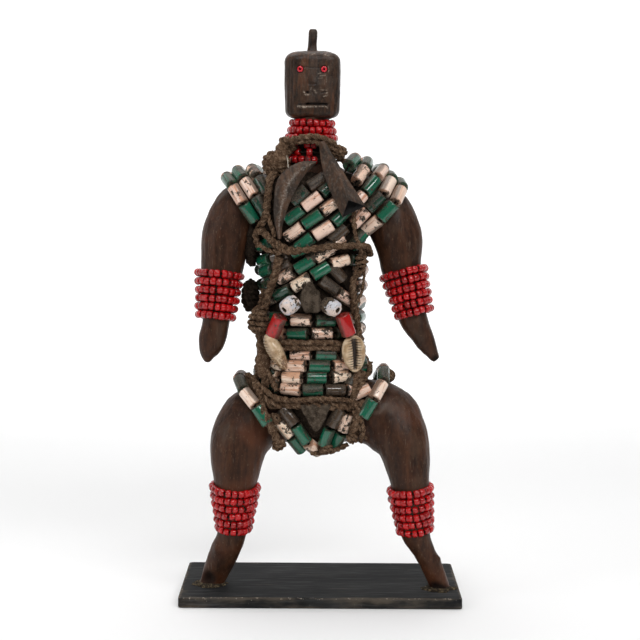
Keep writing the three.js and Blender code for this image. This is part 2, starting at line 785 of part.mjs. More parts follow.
// A soft lump, such as a knot or a bundle, as a squashed ball.
function lump(half, centre, turn = 0) {
  return (pad) => {
    const ball = new THREE.SphereGeometry(1, 8, 6);
    ball.scale(half[0] + pad, half[1] + pad, half[2] + pad);
    ball.rotateY(turn);
    ball.translate(...centre);
    return solid(ball);
  };
}

// A flat pad of stiff hide, bound on over the beads.
function flatPad(size, centre, turn) {
  return (pad) => {
    const [wide, thick, high] = size;
    const slab = new RoundedBoxGeometry(wide + 2 * pad, thick + 2 * pad, high + 2 * pad, 1, 1);
    slab.rotateY(turn);
    slab.translate(...centre);
    return solid(slab);
  };
}

// The board the doll stands on
function board() {
  const { width, depth, thick, corner: radius, edge } = BOARD;
  const [w, d] = [width / 2 - edge, depth / 2 - edge];
  const outline = new THREE.Shape();
  outline.moveTo(-w + radius, -d);
  outline.lineTo(w - radius, -d);
  outline.quadraticCurveTo(w, -d, w, -d + radius);
  outline.lineTo(w, d - radius);
  outline.quadraticCurveTo(w, d, w - radius, d);
  outline.lineTo(-w + radius, d);
  outline.quadraticCurveTo(-w, d, -w, d - radius);
  outline.lineTo(-w, -d + radius);
  outline.quadraticCurveTo(-w, -d, -w + radius, -d);
  const slab = new THREE.ExtrudeGeometry(outline, {
    depth: thick - 2 * edge,
    bevelThickness: edge,
    bevelSize: edge,
    bevelSegments: 1,
    curveSegments: 3,
  });
  slab.translate(0, 0, edge);
  return solid(slab);
}

// The pieces, from the ones that keep their whole shape to the ones that give way to them
const WOOD = { color: 0x2f211c, roughness: 0.55, metalness: 0 };
const PAINTED = { color: 0x1c1b1b, roughness: 0.5, metalness: 0 };
const RED = { color: 0xb01820, roughness: 0.25, metalness: 0 };
const GREEN = { color: 0x0c6a48, roughness: 0.2, metalness: 0 };
const PINK = { color: 0xe6c3ae, roughness: 0.35, metalness: 0 };
const CORD = { color: 0x4f4235, roughness: 0.95, metalness: 0 };
const IRON = { color: 0x5b5048, roughness: 0.55, metalness: 0.8 };
const SHELL = { color: 0xd9c9a8, roughness: 0.4, metalness: 0 };
const WHITE = { color: 0xd5dbe0, roughness: 0.5, metalness: 0 };
const HIDE = { color: 0x54493c, roughness: 0.9, metalness: 0 };

const pieces = [{ name: "wooden_figure", shape: woodenFigure, look: WOOD }];
const add = (name, shape, look) => pieces.push({ name, shape, look });

add("eye_bead_left", eyeBead(EYE.left), RED);
add("eye_bead_right", eyeBead(EYE.right), RED);
for (const [name, band] of Object.entries(BANDS)) add(name, seedBand(band), RED);
add("folded_iron_bell", foldedBell, IRON);
add("iron_crescent", ironCrescent, IRON);
for (const [name, barrel] of Object.entries(BARRELS)) {
  add(name, barrelBead(barrel), barrel.kind === WHITE_BEAD ? WHITE : RED);
}
for (const [name, place] of Object.entries(COWRIES)) add(name, cowrie(place), SHELL);
for (const [name, cord] of Object.entries(CORDS)) add(name, fibreCord(cord), CORD);
Object.entries(STRANDS).forEach(([name, route], i) => {
  add(name, beadStrand(route, BEAD_LIFT + (RAISED[name] ?? 0)), i % 2 ? PINK : GREEN);
});
WAIST_ROWS.forEach(({ height, rise }, i) => {
  const route = Array.from({ length: WAIST.points }, (_, k) => {
    const turn = (k / WAIST.points) * Math.PI * 2;
    const across = WAIST.wide * Math.sin(turn);
    return [WAIST.x + across, -WAIST.deep * Math.cos(turn), height + rise * across];
  });
  add("waist_row_" + (i + 1), beadStrand(route, BEAD_LIFT, true), i % 2 ? GREEN : PINK);
});
BACK_ROWS.forEach((height, i) => {
  const steps = 6;
  const route = Array.from({ length: steps + 1 }, (_, k) => {
    const turn = BACK_REACH * (1 - (2 * k) / steps);
    return [WAIST.x - WAIST.wide * Math.sin(turn), WAIST.deep * Math.cos(turn), height];
  });
  add("back_row_" + (i + 1), beadStrand(route, BEAD_LIFT), i % 2 ? GREEN : PINK);
});
add("neck_knot", lump([7.8, 7, 8], [-26.6, -18, 255.6], 0.3), CORD);
add("side_bundle", lump([5.5, 6, 11.6], [-42, -3, 175]), HIDE);
add("chest_amulet", flatPad([15, 3.4, 12], [-4, -31.4, 178.6], 0.15), HIDE);
add("groin_hide", flatPad([14, 2.4, 14], [-3.5, -32, 108.4], 0.3), HIDE);

// The largest body of a solid, without the crumbs that a cut leaves.
function largest(body) {
  return body.decompose().sort((a, b) => b.volume() - a.volume())[0];
}

// Draws corners that lie close together into one, and drops the faces that this closes up.
function weld(corners, faces, reach) {
  const kept = [];
  const place = corners.map((p) => {
    const found = kept.findIndex((q) => q.distanceTo(p) < reach);
    return found >= 0 ? found : kept.push(p) - 1;
  });
  const moved = faces.map((face) => face.map((k) => place[k]));
  return { corners: kept, faces: moved.filter(([a, b, c]) => a !== b && b !== c && c !== a) };
}

// Where a face is so flat that its third corner lies on its long side, turns that side about.
function turnFlatFaces(corners, faces) {
  const owner = new Map();
  const sides = ([a, b, c]) => [[a, b, c], [b, c, a], [c, a, b]];
  const record = (f) => sides(faces[f]).forEach(([a, b]) => owner.set(a + ":" + b, f));
  faces.forEach((_, f) => record(f));
  const line = new THREE.Line3();
  const foot = new THREE.Vector3();
  faces.forEach((_, f) => {
    for (const [a, b, c] of sides(faces[f])) {
      line.set(corners[a], corners[b]).closestPointToPoint(corners[c], true, foot);
      const inside = foot.distanceTo(corners[a]) > FLAT && foot.distanceTo(corners[b]) > FLAT;
      if (!inside || foot.distanceTo(corners[c]) > FLAT) continue;
      const other = owner.get(b + ":" + a);
      const d = faces[other].find((k) => k !== a && k !== b);
      if (d === c || owner.has(c + ":" + d) || owner.has(d + ":" + c)) return;
      owner.delete(a + ":" + b);
      owner.delete(b + ":" + a);
      faces[f] = [a, d, c];
      faces[other] = [d, b, c];
      record(f);
      record(other);
      return;
    }
  });
}

// Closes up the slivers that a cut leaves, where the shape stays whole without them.
function withoutSlivers(body) {
  const mesh = body.getMesh();
  const numbers = Array.from(mesh.vertProperties);
  const threes = (list) => Array.from({ length: list.length / 3 }, (_, i) => list.slice(3 * i, 3 * i + 3));
  const points = threes(numbers).map(at);
  const triangles = threes(Array.from(mesh.triVerts));
  for (const reach of SLIVERS) {
    const { corners, faces } = weld(points, triangles, reach);
    const runs = new Set(faces.flatMap(([a, b, c]) => [a + ":" + b, b + ":" + c, c + ":" + a]));
    if (runs.size < faces.length * 3) continue; // two parts of the surface met along a side
    turnFlatFaces(corners, faces);
    try {
      const geometry = new THREE.BufferGeometry().setFromPoints(corners);
      geometry.setIndex(faces.flat());
      const tidy = solid(geometry);
      if (tidy.decompose().length === 1) return tidy;
    } catch {
      continue; // some faces met where they should not: try a smaller reach
    }
  }
  return body;
}

function bounds(body) {
  const { min, max } = body.boundingBox();
  return new THREE.Box3(at(min), at(max));
}

const doll = new THREE.Group();
const show = (name, body, look) => {
  const mesh = new THREE.Mesh(geometryOf(body), new THREE.MeshStandardMaterial(look));
  mesh.name = name;
  doll.add(mesh);
};

const placed = [];
for (const { name, shape, look } of pieces) {
  let body = shape(0);
  for (const other of placed) {
    if (bounds(body).intersectsBox(other.bounds)) body = body.subtract(other.grown);
  }
  if (name !== "wooden_figure") body = withoutSlivers(largest(body));
  const grown = shape(GAP);
  placed.push({ grown, bounds: bounds(grown) });
  show(name, body, look);
}
show("base_board", board(), PAINTED);

export default doll;
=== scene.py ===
"""Looks for a carved wooden doll, bound in strands of glass tube beads, cords and small pendants.

Points and sizes are in millimetres, as in the part's source, and become metres where a mesh is made.
The places of the stage, and those that a finish steps between, are in metres.
"""

import json
import math
import random

import bpy
import numpy as np
from mathutils import Matrix, Vector, noise
from mathutils.bvhtree import BVHTree


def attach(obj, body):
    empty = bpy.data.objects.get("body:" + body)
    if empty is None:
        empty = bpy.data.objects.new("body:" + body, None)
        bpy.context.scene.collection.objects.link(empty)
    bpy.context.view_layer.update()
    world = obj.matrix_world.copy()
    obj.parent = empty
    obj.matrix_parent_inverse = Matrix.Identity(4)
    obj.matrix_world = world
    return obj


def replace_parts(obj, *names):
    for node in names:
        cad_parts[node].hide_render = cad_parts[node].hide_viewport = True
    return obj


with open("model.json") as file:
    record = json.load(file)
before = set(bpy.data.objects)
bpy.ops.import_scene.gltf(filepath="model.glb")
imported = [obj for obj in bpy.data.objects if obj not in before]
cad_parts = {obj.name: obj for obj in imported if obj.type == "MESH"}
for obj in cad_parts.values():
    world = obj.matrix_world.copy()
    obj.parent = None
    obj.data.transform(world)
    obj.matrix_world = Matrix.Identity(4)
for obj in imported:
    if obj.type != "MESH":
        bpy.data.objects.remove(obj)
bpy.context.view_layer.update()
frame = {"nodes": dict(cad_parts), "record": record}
MM = 0.001
dice = random.Random(11)

# The camera stands where the photograph was taken from.
CAMERA = {"place": (-1.0, -901.0, 255.3), "pitch": 5.84, "roll": 0.33, "focal": 1532.6, "width": 640}


def make_camera():
    data = bpy.data.cameras.new("camera")
    data.sensor_width = 36
    data.lens = CAMERA["focal"] / CAMERA["width"] * data.sensor_width
    data.clip_start = 0.05
    data.clip_end = 20
    camera = bpy.data.objects.new("camera", data)
    bpy.context.collection.objects.link(camera)
    tilt = Matrix.Rotation(math.radians(90 - CAMERA["pitch"]), 4, "X")
    roll = Matrix.Rotation(math.radians(CAMERA["roll"]), 4, "Z")
    camera.matrix_world = Matrix.Translation(Vector(CAMERA["place"]) * MM) @ tilt @ roll
    bpy.context.scene.camera = camera
    return camera


TO_VIEW = make_camera().matrix_world.inverted()
FROM_VIEW = TO_VIEW.inverted()


def pixel_of(point):
    """The pixel at which the photograph shows a point."""
    p = TO_VIEW @ (Vector(point) * MM)
    middle = CAMERA["width"] / 2
    return Vector((middle - CAMERA["focal"] * p.x / p.z, middle + CAMERA["focal"] * p.y / p.z))


def seen(u, v, y, *lift):
    """The point at depth y that the photograph shows at a pixel, with a lift of its own if it has one."""
    middle = CAMERA["width"] / 2
    ray = FROM_VIEW.to_3x3() @ Vector((u - middle, middle - v, -CAMERA["focal"]))
    eye = Vector(CAMERA["place"])
    p = eye + ray * ((y - eye.y) / ray.y)
    return (p.x, p.y, p.z, *lift)


# Nodes


def add_node(tree, kind, settings, inputs):
    """Adds a node: its settings first, then the values or links of its sockets, by name or number."""
    node = tree.nodes.new(kind)
    for key, value in settings.items():
        if key == "stops":
            ramp = node.color_ramp
            while len(ramp.elements) < len(value):
                ramp.elements.new(0.5)
            for stop, (place, colour) in zip(ramp.elements, value):
                stop.position = place
                stop.color = (*colour, 1) if len(colour) == 3 else colour
        else:
            setattr(node, key, value)
    for key, value in inputs.items():
        if isinstance(value, Wire):
            value = value.socket
        if isinstance(value, bpy.types.NodeSocket):
            tree.links.new(value, node.inputs[key])
        elif value is not None:
            node.inputs[key].default_value = value
    return node


class Wire:
    """A node's socket that Python's operators work on; each adds the Math node that it needs."""

    def __init__(self, tree, socket):
        self.tree = tree
        self.socket = socket

    def math(self, operation, *values):
        inputs = dict(enumerate(values))
        kind = add_node(self.tree, "ShaderNodeMath", {"operation": operation}, inputs)
        return Wire(self.tree, kind.outputs[0])

    def __add__(self, other):
        return self.math("ADD", self, other)

    def __sub__(self, other):
        return self.math("SUBTRACT", self, other)

    def __rsub__(self, other):
        return self.math("SUBTRACT", other, self)

    def __mul__(self, other):
        return self.math("MULTIPLY", self, other)

    def __truediv__(self, other):
        return self.math("DIVIDE", self, other)

    __radd__ = __add__
    __rmul__ = __mul__

    def step(self, low, high):
        """0 below low and 1 above high, or the other way about where low is the greater."""
        inputs = {0: self, 1: low, 2: high, 3: 0.0, 4: 1.0}
        settings = {"interpolation_type": "SMOOTHSTEP", "clamp": True}
        if low > high:
            inputs.update({1: high, 2: low, 3: 1.0, 4: 0.0})
        return Wire(self.tree, add_node(self.tree, "ShaderNodeMapRange", settings, inputs).outputs[0])

    def either(self, other):
        return self.math("MAXIMUM", self, other)

    def held(self):
        return self.math("MINIMUM", self.math("MAXIMUM", self, 0.0), 1.0)


class Finish:
    """A procedural material, built on one Principled shader."""

    def __init__(self, name, **sockets):
        self.material = bpy.data.materials.new(name)
        self.material.use_nodes = True
        self.tree = self.material.node_tree
        self.shader = self.tree.nodes["Principled BSDF"]
        self.where = self.node("ShaderNodeTexCoord", {}, {}, "Object")
        self.set(**sockets)

    def node(self, kind, settings, inputs, out=0):
        return Wire(self.tree, add_node(self.tree, kind, settings, inputs).outputs[out])

    def set(self, **sockets):
        for name, value in sockets.items():
            socket = self.shader.inputs[name.replace("_", " ")]
            if isinstance(value, Wire):
                self.tree.links.new(value.socket, socket)
            else:
                socket.default_value = value

    def stored(self, name, out="Vector"):
        return self.node("ShaderNodeAttribute", {"attribute_name": name}, {}, out)

    def axis(self, vector, number):
        return self.node("ShaderNodeSeparateXYZ", {}, {0: vector}, number)

    def stretched(self, vector, scale):
        """The coordinates, scaled along each axis."""
        inputs = {"Vector": vector, "Scale": scale}
        return self.node("ShaderNodeMapping", {"vector_type": "POINT"}, inputs)

    def moved(self, vector, by):
        """The coordinates, moved by a stored number, so that no two pieces carry the same marks."""
        spread = self.node("ShaderNodeCombineXYZ", {}, {0: by, 1: by * 1.7, 2: by * 0.6})
        return self.node("ShaderNodeVectorMath", {"operation": "ADD"}, {0: vector, 1: spread})

    def grain(self, size, detail=3.0, vector=None, rough=0.55, bend=0.0):
        """Noise whose marks are about size millimetres across."""
        inputs = {"Vector": vector or self.where, "Scale": 1 / (size * MM), "Detail": detail}
        inputs.update({"Roughness": rough, "Distortion": bend})
        return self.node("ShaderNodeTexNoise", {}, inputs)

    def between(self, share, a, b):
        """A colour mixed from a to b by a share."""
        settings = {"data_type": "RGBA"}
        a, b = [(*c, 1.0) if isinstance(c, tuple) else c for c in (a, b)]
        return self.node("ShaderNodeMix", settings, {0: share, 6: a, 7: b}, 2)

    def relief(self, height, depth, strength=1.0):
        """A bump of so many millimetres."""
        inputs = {"Height": height, "Distance": depth * MM, "Strength": strength}
        return self.node("ShaderNodeBump", {}, inputs)


# Finishes


def oiled_wood():
    f = Finish("oiled_wood", Specular_IOR_Level=0.2)
    along = f.stretched(f.where, (1, 1, 0.16))
    broad = f.grain(26, 2)
    pores = f.grain(1.2, 3, along, 0.6)
    streaks = f.grain(5, 4, along, 0.65, 0.6)
    handled = f.grain(11, 4, f.stretched(f.where, (1, 1, 0.5)), 0.6).step(0.5, 0.68)
    pits = f.grain(1.9, 3, f.stretched(f.where, (1, 1, 0.6)), 0.6)
    # the stored edge: over 0, painted shade at the wood's cut ends; under 0, the pale swirl
    cut = f.stored("edge", "Fac")
    lined = (streaks * 0.7 + pits * 0.3).step(0.3, 0.74)
    dark = f.between(lined, (0.018, 0.0074, 0.0041), (0.07, 0.0275, 0.0125))
    warm = f.between(broad.step(0.48, 0.7) * 0.6, dark, (0.09, 0.028, 0.011))
    dusty = f.between(handled * 0.25, warm, (0.1, 0.064, 0.042))
    flecks = f.grain(0.8, 2, f.stretched(f.where, (1, 1, 0.3)), 0.6).step(0.63, 0.7)
    scratches = f.grain(1.1, 2, f.stretched(f.where, (1, 1, 0.05)), 0.5).step(0.66, 0.74)
    worn = f.between(scratches * 0.3, dusty, (0.13, 0.095, 0.07))
    flecked = f.between(flecks * 0.4, worn, (0.16, 0.1, 0.062))
    swirl = f.between((cut * -1.0).held() * 0.6, flecked, (0.15, 0.11, 0.085))
    # the cut ends are mixed towards near black: painted shade
    f.set(
        Base_Color=f.between(cut.held() * 0.92, swirl, (0.004, 0.003, 0.0025)),
        Roughness=streaks * 0.15 + pits * 0.2 + cut.held() * 0.5 + 0.27,
        Normal=f.relief(streaks * 0.3 + pits * 0.8 + pores * 0.5 - scratches * 0.3, 0.4, 0.7),
    )
    return f.material


def weathered_head():
    f = Finish("weathered_head", Specular_IOR_Level=0.3)
    # the stored edge: painted highlight on the lower lip and cuts over 0, painted shade in grooves and round
    # the eyes under 0
    face_highlight_and_shade = f.stored("edge", "Fac")
    along = f.stretched(f.where, (1, 1, 0.14))
    streaks = f.grain(3.6, 4, along, 0.65, 0.8)
    patches = f.grain(8, 3).step(0.45, 0.66)
    pores = f.grain(0.8, 3, along, 0.6)
    left = f.axis(f.where, 0).step(-0.006, -0.02)
    mottled = f.grain(1.7, 4, f.stretched(f.where, (1, 1, 0.5)), 0.7)
    lined = (streaks * 0.55 + mottled * 0.45).step(0.38, 0.64)
    brown = f.between(lined, (0.009, 0.0044, 0.0026), (0.054, 0.0235, 0.0105))
    crest = f.axis(f.where, 2).step(0.3195, 0.3215)
    reddish = (f.grain(4.5, 3, along, 0.5) + left * 0.1 + crest * 0.13).step(0.56, 0.68) * 0.7
    red = f.between(reddish, brown, (0.1, 0.034, 0.012))
    grey = f.between(patches * (1 - left * 0.7) * 0.3, red, (0.066, 0.046, 0.034))
    specks = f.grain(0.8, 3, None, 0.7).step(0.55, 0.68)
    worn = f.between(specks * 0.32, grey, (0.16, 0.11, 0.072))
    # the painted highlight, pale, broken up by grain
    pale = (face_highlight_and_shade * f.grain(0.9, 3, None, 0.7).step(0.36, 0.62) * 1.1).held()
    cut = f.between(pale * 0.8, worn, (0.46, 0.37, 0.29))
    # under 0 the face is mixed towards near black: painted shade
    f.set(
        Base_Color=f.between((face_highlight_and_shade * -1.0).held(), cut, (0.004, 0.0028, 0.0022)),
        Roughness=streaks * 0.25 + patches * 0.1 + 0.28,
        Normal=f.relief(streaks * 0.5 + pores * 0.6, 0.5, 0.8),
    )
    return f.material


def scuffed_black():
    f = Finish("scuffed_black_paint", Specular_IOR_Level=0.04)
    along = f.stretched(f.where, (0.12, 1, 1))
    brushed = f.grain(4, 4, along, 0.6)
    clouds = f.grain(22, 3, f.stretched(f.where, (0.5, 1, 1))).step(0.42, 0.7)
    worn = f.stored("edge", "Fac")
    chips = (f.grain(2.2, 4, None, 0.7) + worn * 0.34).step(0.9, 0.97)
    crumbs = (f.grain(1.1, 2, None, 0.6) + worn * 0.26).step(0.9, 0.96)
    rubbed = (f.grain(7, 4, f.stretched(f.where, (0.3, 1, 1)), 0.6) + worn * 0.3).step(0.6, 0.95)
    drawn = f.grain(1.6, 3, f.stretched(f.where, (0.06, 1, 1)), 0.6).step(0.5, 0.72)
    greyed = clouds * 0.4 + brushed * 0.2 + drawn * 0.6
    paint = f.between(greyed, (0.009, 0.0092, 0.0098), (0.058, 0.058, 0.058))
    dusty = f.between(rubbed * 0.65, paint, (0.115, 0.094, 0.072))
    bare = f.between(chips * 0.8, dusty, (0.27, 0.22, 0.17))
    f.set(
        Base_Color=f.between(crumbs * 0.8, bare, (0.5, 0.45, 0.38)),
        Roughness=clouds * 0.15 + brushed * 0.1 + 0.6,
        Normal=f.relief(brushed * 0.6 - chips, 0.25, 0.5),
    )
    return f.material


def strung_glass():
    """Tube beads: each vertex carries its bead's tint and wear, and its place on the bead."""
    f = Finish("strung_glass", Specular_IOR_Level=0.4, Coat_Roughness=0.03)
    chance = f.stored("chance", "Fac")
    place_on_bead = f.stored("spot")
    spot = f.moved(place_on_bead, chance)
    tint = f.stored("tint", "Color")
    wear = f.stored("wear", "Fac")
    ends = f.stored("ends", "Fac")
    red = f.node("ShaderNodeSeparateColor", {}, {0: tint})
    along = f.stretched(spot, (1, 1, 0.1))
    blotch = f.grain(3.4, 4, spot, 0.7)
    fine = f.grain(0.7, 3, spot, 0.65)
    # one side of each bead keeps a film of old dirt, and its flanks, next to the beads beside it, are
    # darkened too
    radii_per_metre = 270
    parts, across = f.axis(place_on_bead, 0), f.axis(place_on_bead, 1)
    turn = chance * 1.5 + 0.82
    side = (parts * turn.math("COSINE", turn) + across * turn.math("SINE", turn)) * radii_per_metre
    groove = (across.math("ABSOLUTE", across) * radii_per_metre + fine * 0.3).step(0.86, 1.12)
    ragged = f.grain(2.4, 4, along, 0.65) - 0.5
    film = (side * 0.42 + ragged * 1.3 + wear * 0.9 - red * 0.36).step(0.38, 0.45)
    grime = (blotch + wear * 0.26 + ends * 0.1 + fine * 0.16).step(0.725, 0.75)
    scored = (f.grain(0.8, 3, along, 0.6) + wear * 0.14).step(0.6, 0.68) * 0.6
    specks = (fine * 0.7 + blotch * 0.4 + wear * 0.14).step(0.67, 0.7) * 0.8
    # the mask also darkens each bead's hole and ends: painted shade
    dirt_and_shade = grime.either(film * 0.88).either(specks).either(ends * 0.5).either(groove * 0.8).held()
    soil = f.between(fine.step(0.4, 0.62), (0.007, 0.0045, 0.003), (0.1, 0.07, 0.045))
    warm = (side * 0.12 + f.grain(2, 3, along, 0.65) + ends * 0.2 + wear * 0.15).step(0.6, 0.76) * 0.75
    stain = warm.either(scored)
    rubbed = f.node("ShaderNodeVectorMath", {"operation": "MULTIPLY"}, {0: tint, 1: (0.62, 0.34, 0.2)})
    f.set(
        Base_Color=f.between(dirt_and_shade, f.between(stain, tint, rubbed), soil),
        Roughness=dirt_and_shade * 0.5 + 0.07,
        Coat_Weight=(1 - dirt_and_shade) * (0.65 - red * 0.35),
        Normal=f.relief(dirt_and_shade * 0.5 + fine * dirt_and_shade, 0.3, 0.8),
    )
    return f.material


def seed_glass():
    """Small red beads, some of them dull or dark."""
    f = Finish("seed_glass", Specular_IOR_Level=0.36, Coat_Roughness=0.04)
    chance = f.stored("chance", "Fac")
    tint = f.stored("tint", "Color")
    wear = f.stored("wear", "Fac")
    spot = f.moved(f.stored("spot"), chance)
    # grime also darkens each bead's hole and ends: painted shade
    grime = (f.grain(1.6, 3, spot, 0.6) + wear * 0.4 + f.stored("ends", "Fac") * 0.16).step(0.68, 0.84)
    f.set(
        Base_Color=f.between(grime * 0.85, tint, (0.03, 0.008, 0.006)),
        Roughness=grime * 0.45 + 0.13,
        Coat_Weight=(1 - grime) * 0.38,
        Normal=f.relief(f.grain(0.6, 2, spot), 0.06, 0.5),
    )
    return f.material


def crusted_fibre(name, low, high, dust_and_glint):
    f = Finish(name, Specular_IOR_Level=0.08)
    run = f.stored("run")
    hairs = f.grain(0.55, 3, f.stretched(run, (1, 1, 0.2)), 0.6)
    clots = f.grain(2.4, 4, None, 0.7)
    fine = f.grain(0.5, 3, None, 0.6)
    base = f.between(hairs.step(0.3, 0.7), low, high)
    # pale specks of dust, which also stand in for the fibres' glints: painted highlight
    pale = (clots * 0.6 + fine * 0.7).step(0.66, 0.8)
    dark = (clots * 0.7 + fine * 0.5).step(0.58, 0.46)
    f.set(
        Base_Color=f.between(dark * 0.7, f.between(pale * 0.8, base, dust_and_glint), low),
        Roughness=0.95 - fine * 0.2,
        Normal=f.relief(hairs * 0.5 + clots * 0.4 + fine * 0.5, 0.8, 1.0),
    )
    return f.material


def rusted_iron():
    f = Finish("rusted_iron", Specular_IOR_Level=0.3)
    # the stored edge: rubbed edges over 0, partly painted highlight; under 0, inside the bell, painted shade
    rubbed = f.stored("edge", "Fac")
    rust = f.grain(6, 4, f.stretched(f.where, (1, 1, 0.5)), 0.65).step(0.4, 0.64)
    pits = f.grain(0.9, 3, None, 0.7)
    base = f.between(rust, (0.032, 0.022, 0.016), (0.095, 0.05, 0.029))
    crust = f.between(f.grain(1.6, 3, None, 0.6).step(0.5, 0.7) * 0.6, base, (0.13, 0.1, 0.078))
    # under 0, inside the bell, the iron is mixed to near black: painted shade
    crust = f.between(rubbed.step(-0.2, -0.7), crust, (0.003, 0.0022, 0.0018))
    # bright worn metal on the ridges, which also stands in for their highlight: painted highlight
    bright_wear_and_highlight = (rubbed * 0.7 + f.grain(1.1, 3, None, 0.7) * 1.2 + pits * 0.4).step(1.25, 1.8)
    f.set(
        Base_Color=f.between(bright_wear_and_highlight * 0.8, crust, (0.34, 0.3, 0.26)),
        Metallic=bright_wear_and_highlight * 0.6 + 0.15,
        Roughness=0.58 - bright_wear_and_highlight * 0.25 + pits * 0.1,
        Normal=f.relief(pits + rust * 0.5, 0.5, 0.9),
    )
    return f.material


def worn_shell():
    f = Finish("worn_shell", Subsurface_Weight=0.05, Specular_IOR_Level=0.45, Coat_Roughness=0.15)
    f.shader.inputs["Subsurface Radius"].default_value = (0.003, 0.0015, 0.0008)
    # painted shade in the slit and between the teeth, stored as edge
    slit_shade = f.stored("edge", "Fac")
    clouds = f.grain(5, 3)
    specks = (f.grain(1.5, 3, None, 0.65) + f.stored("side", "Fac") * 0.12).step(0.58, 0.63)
    base = f.between(clouds.step(0.38, 0.62), (0.37, 0.235, 0.12), (0.62, 0.47, 0.31))
    amber = f.between((specks * f.stored("side", "Fac")).held() * 0.85, base, (0.13, 0.05, 0.013))
    grime = f.grain(1.2, 3, None, 0.65).step(0.58, 0.72)
    dirty = f.between(grime * 0.35, amber, (0.12, 0.08, 0.05))
    f.set(
        Base_Color=f.between(slit_shade, dirty, (0.022, 0.013, 0.009)),
        Roughness=0.32 + slit_shade * 0.5,
        Coat_Weight=0.25,
        Normal=f.relief(f.grain(0.8, 2), 0.08, 0.4),
    )
    return f.material


def chipped_white():
    f = Finish("chipped_white_glass", Specular_IOR_Level=0.4)
    # the stored edge: real crust on one end, and painted shade in the hole
    dirty = f.stored("edge", "Fac")
    chips = f.grain(1.4, 4, None, 0.7).step(0.59, 0.63)
    crust = (f.grain(2.6, 4, None, 0.7) + dirty * 0.5).step(0.72, 0.76)
    body = f.between(f.grain(5, 2).step(0.42, 0.6), (0.56, 0.56, 0.6), (0.7, 0.57, 0.5))
    base = f.between(chips, body, (0.07, 0.05, 0.04))
    soil = f.between(f.grain(1, 3, None, 0.6).step(0.35, 0.7), (0.012, 0.008, 0.005), (0.13, 0.088, 0.055))
    f.set(
        Base_Color=f.between(crust, base, soil),
        Roughness=0.28 + crust * 0.6,
        Normal=f.relief(crust - chips, 0.25, 0.7),
    )
    return f.material


def stiff_hide():
    f = Finish("stiff_hide", Specular_IOR_Level=0.1)
    folds = f.grain(4, 3, None, 0.6)
    nap = f.grain(0.6, 3, None, 0.7)
    base = f.between(folds.step(0.35, 0.7), (0.036, 0.026, 0.018), (0.115, 0.087, 0.064))
    f.set(
        Base_Color=f.between(nap.step(0.52, 0.66) * 0.6, base, (0.17, 0.135, 0.1)),
        Roughness=0.92,
        Normal=f.relief(nap + folds * 0.5, 0.8, 1.0),
    )
    return f.material


WOOD = oiled_wood()
HEAD_WOOD = weathered_head()
BLACK = scuffed_black()
TUBE_GLASS = strung_glass()
SEED_GLASS = seed_glass()
CORD = crusted_fibre("fibre_cord", (0.02, 0.012, 0.007), (0.185, 0.108, 0.064), (0.33, 0.228, 0.153))
MUD = crusted_fibre("muddy_binding", (0.006, 0.004, 0.003), (0.03, 0.02, 0.013), (0.06, 0.043, 0.03))
THREAD = crusted_fibre("pale_thread", (0.3, 0.26, 0.2), (0.5, 0.45, 0.38), (0.55, 0.5, 0.44))
IRON = rusted_iron()
SHELL = worn_shell()
WHITE_GLASS = chipped_white()
HIDE = stiff_hide()
GLUE = crusted_fibre("old_glue", (0.01, 0.008, 0.006), (0.036, 0.027, 0.018), (0.26, 0.2, 0.115))

# Meshes


def store(mesh, name, values):
    """Stores a number on each point of a mesh."""
    mesh.attributes.new(name, "FLOAT", "POINT").data.foreach_set("value", values)


def piece(name, slot, points, faces, material, stored=None):
    """A new piece from points in millimetres, with values stored on its points."""
    mesh = bpy.data.meshes.new(name)
    mesh.from_pydata([Vector(p) * MM for p in points], [], faces)
    for key, values in (stored or {}).items():
        store(mesh, key, values)
    mesh.shade_smooth()
    mesh.materials.append(material)
    return place(bpy.data.objects.new(name, mesh), slot)


def place(obj, slot):
    bpy.context.collection.objects.link(obj)
    if slot:
        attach(obj, "root")
    return obj


def loft(rings, closed=False):
    """Points and faces of a skin over equal rings, with a fan at each open end."""
    sides = len(rings[0])
    points = [p for ring in rings for p in ring]
    faces = []
    for i in range(len(rings) if closed else len(rings) - 1):
        a, b = i * sides, (i + 1) % len(rings) * sides
        faces += [(a + k, a + (k + 1) % sides, b + (k + 1) % sides, b + k) for k in range(sides)]
    if not closed:
        for start, order in ((0, -1), (len(points) - sides, 1)):
            loop = [start + k for k in range(sides)]
            points.append(sum((Vector(points[k]) for k in loop), Vector()) / sides)
            tip = len(points) - 1
            faces += [(loop[k], loop[(k + 1) % sides], tip)[::order] for k in range(sides)]
    return points, faces


def outward(points, faces):
    """The faces, turned about if they point inwards."""
    bulk = 0.0
    for face in faces:
        a, *rest = [Vector(points[k]) for k in face]
        bulk += sum(a.dot(b.cross(c)) for b, c in zip(rest, rest[1:]))
    return faces if bulk > 0 else [tuple(reversed(face)) for face in faces]


def spline(points, per_span, closed=False):
    """A smooth line through points of any number of values."""
    p = np.array(points, float)
    n = len(p)
    if closed:
        p = np.vstack([p[-1:], p, p[:2]])
    else:
        p = np.vstack([2 * p[:1] - p[1:2], p, 2 * p[-1:] - p[-2:-1]])
    line = []
    spans = n if closed else n - 1
    for i in range(spans):
        a, b, c, d = p[i : i + 4]
        for t in np.arange(per_span) / per_span:
            bend = (2 * a - 5 * b + 4 * c - d) * t**2
            twist = (3 * b - a - 3 * c + d) * t**3
            line.append(0.5 * (2 * b + (c - a) * t + bend + twist))
    if not closed:
        line.append(p[-2])
    return np.array(line)


def evenly(line, step, closed=False):
    """Points along a line, so many millimetres apart."""
    line = np.vstack([line, line[:1]]) if closed else line
    at = np.concatenate([[0], np.cumsum(np.linalg.norm(np.diff(line[:, :3], axis=0), axis=1))])
    count = max(2, round(at[-1] / step))
    wanted = np.linspace(0, at[-1], count + 1)
    out = np.stack([np.interp(wanted, at, line[:, k]) for k in range(line.shape[1])], 1)
    return out[:-1] if closed else out


# The carved figure

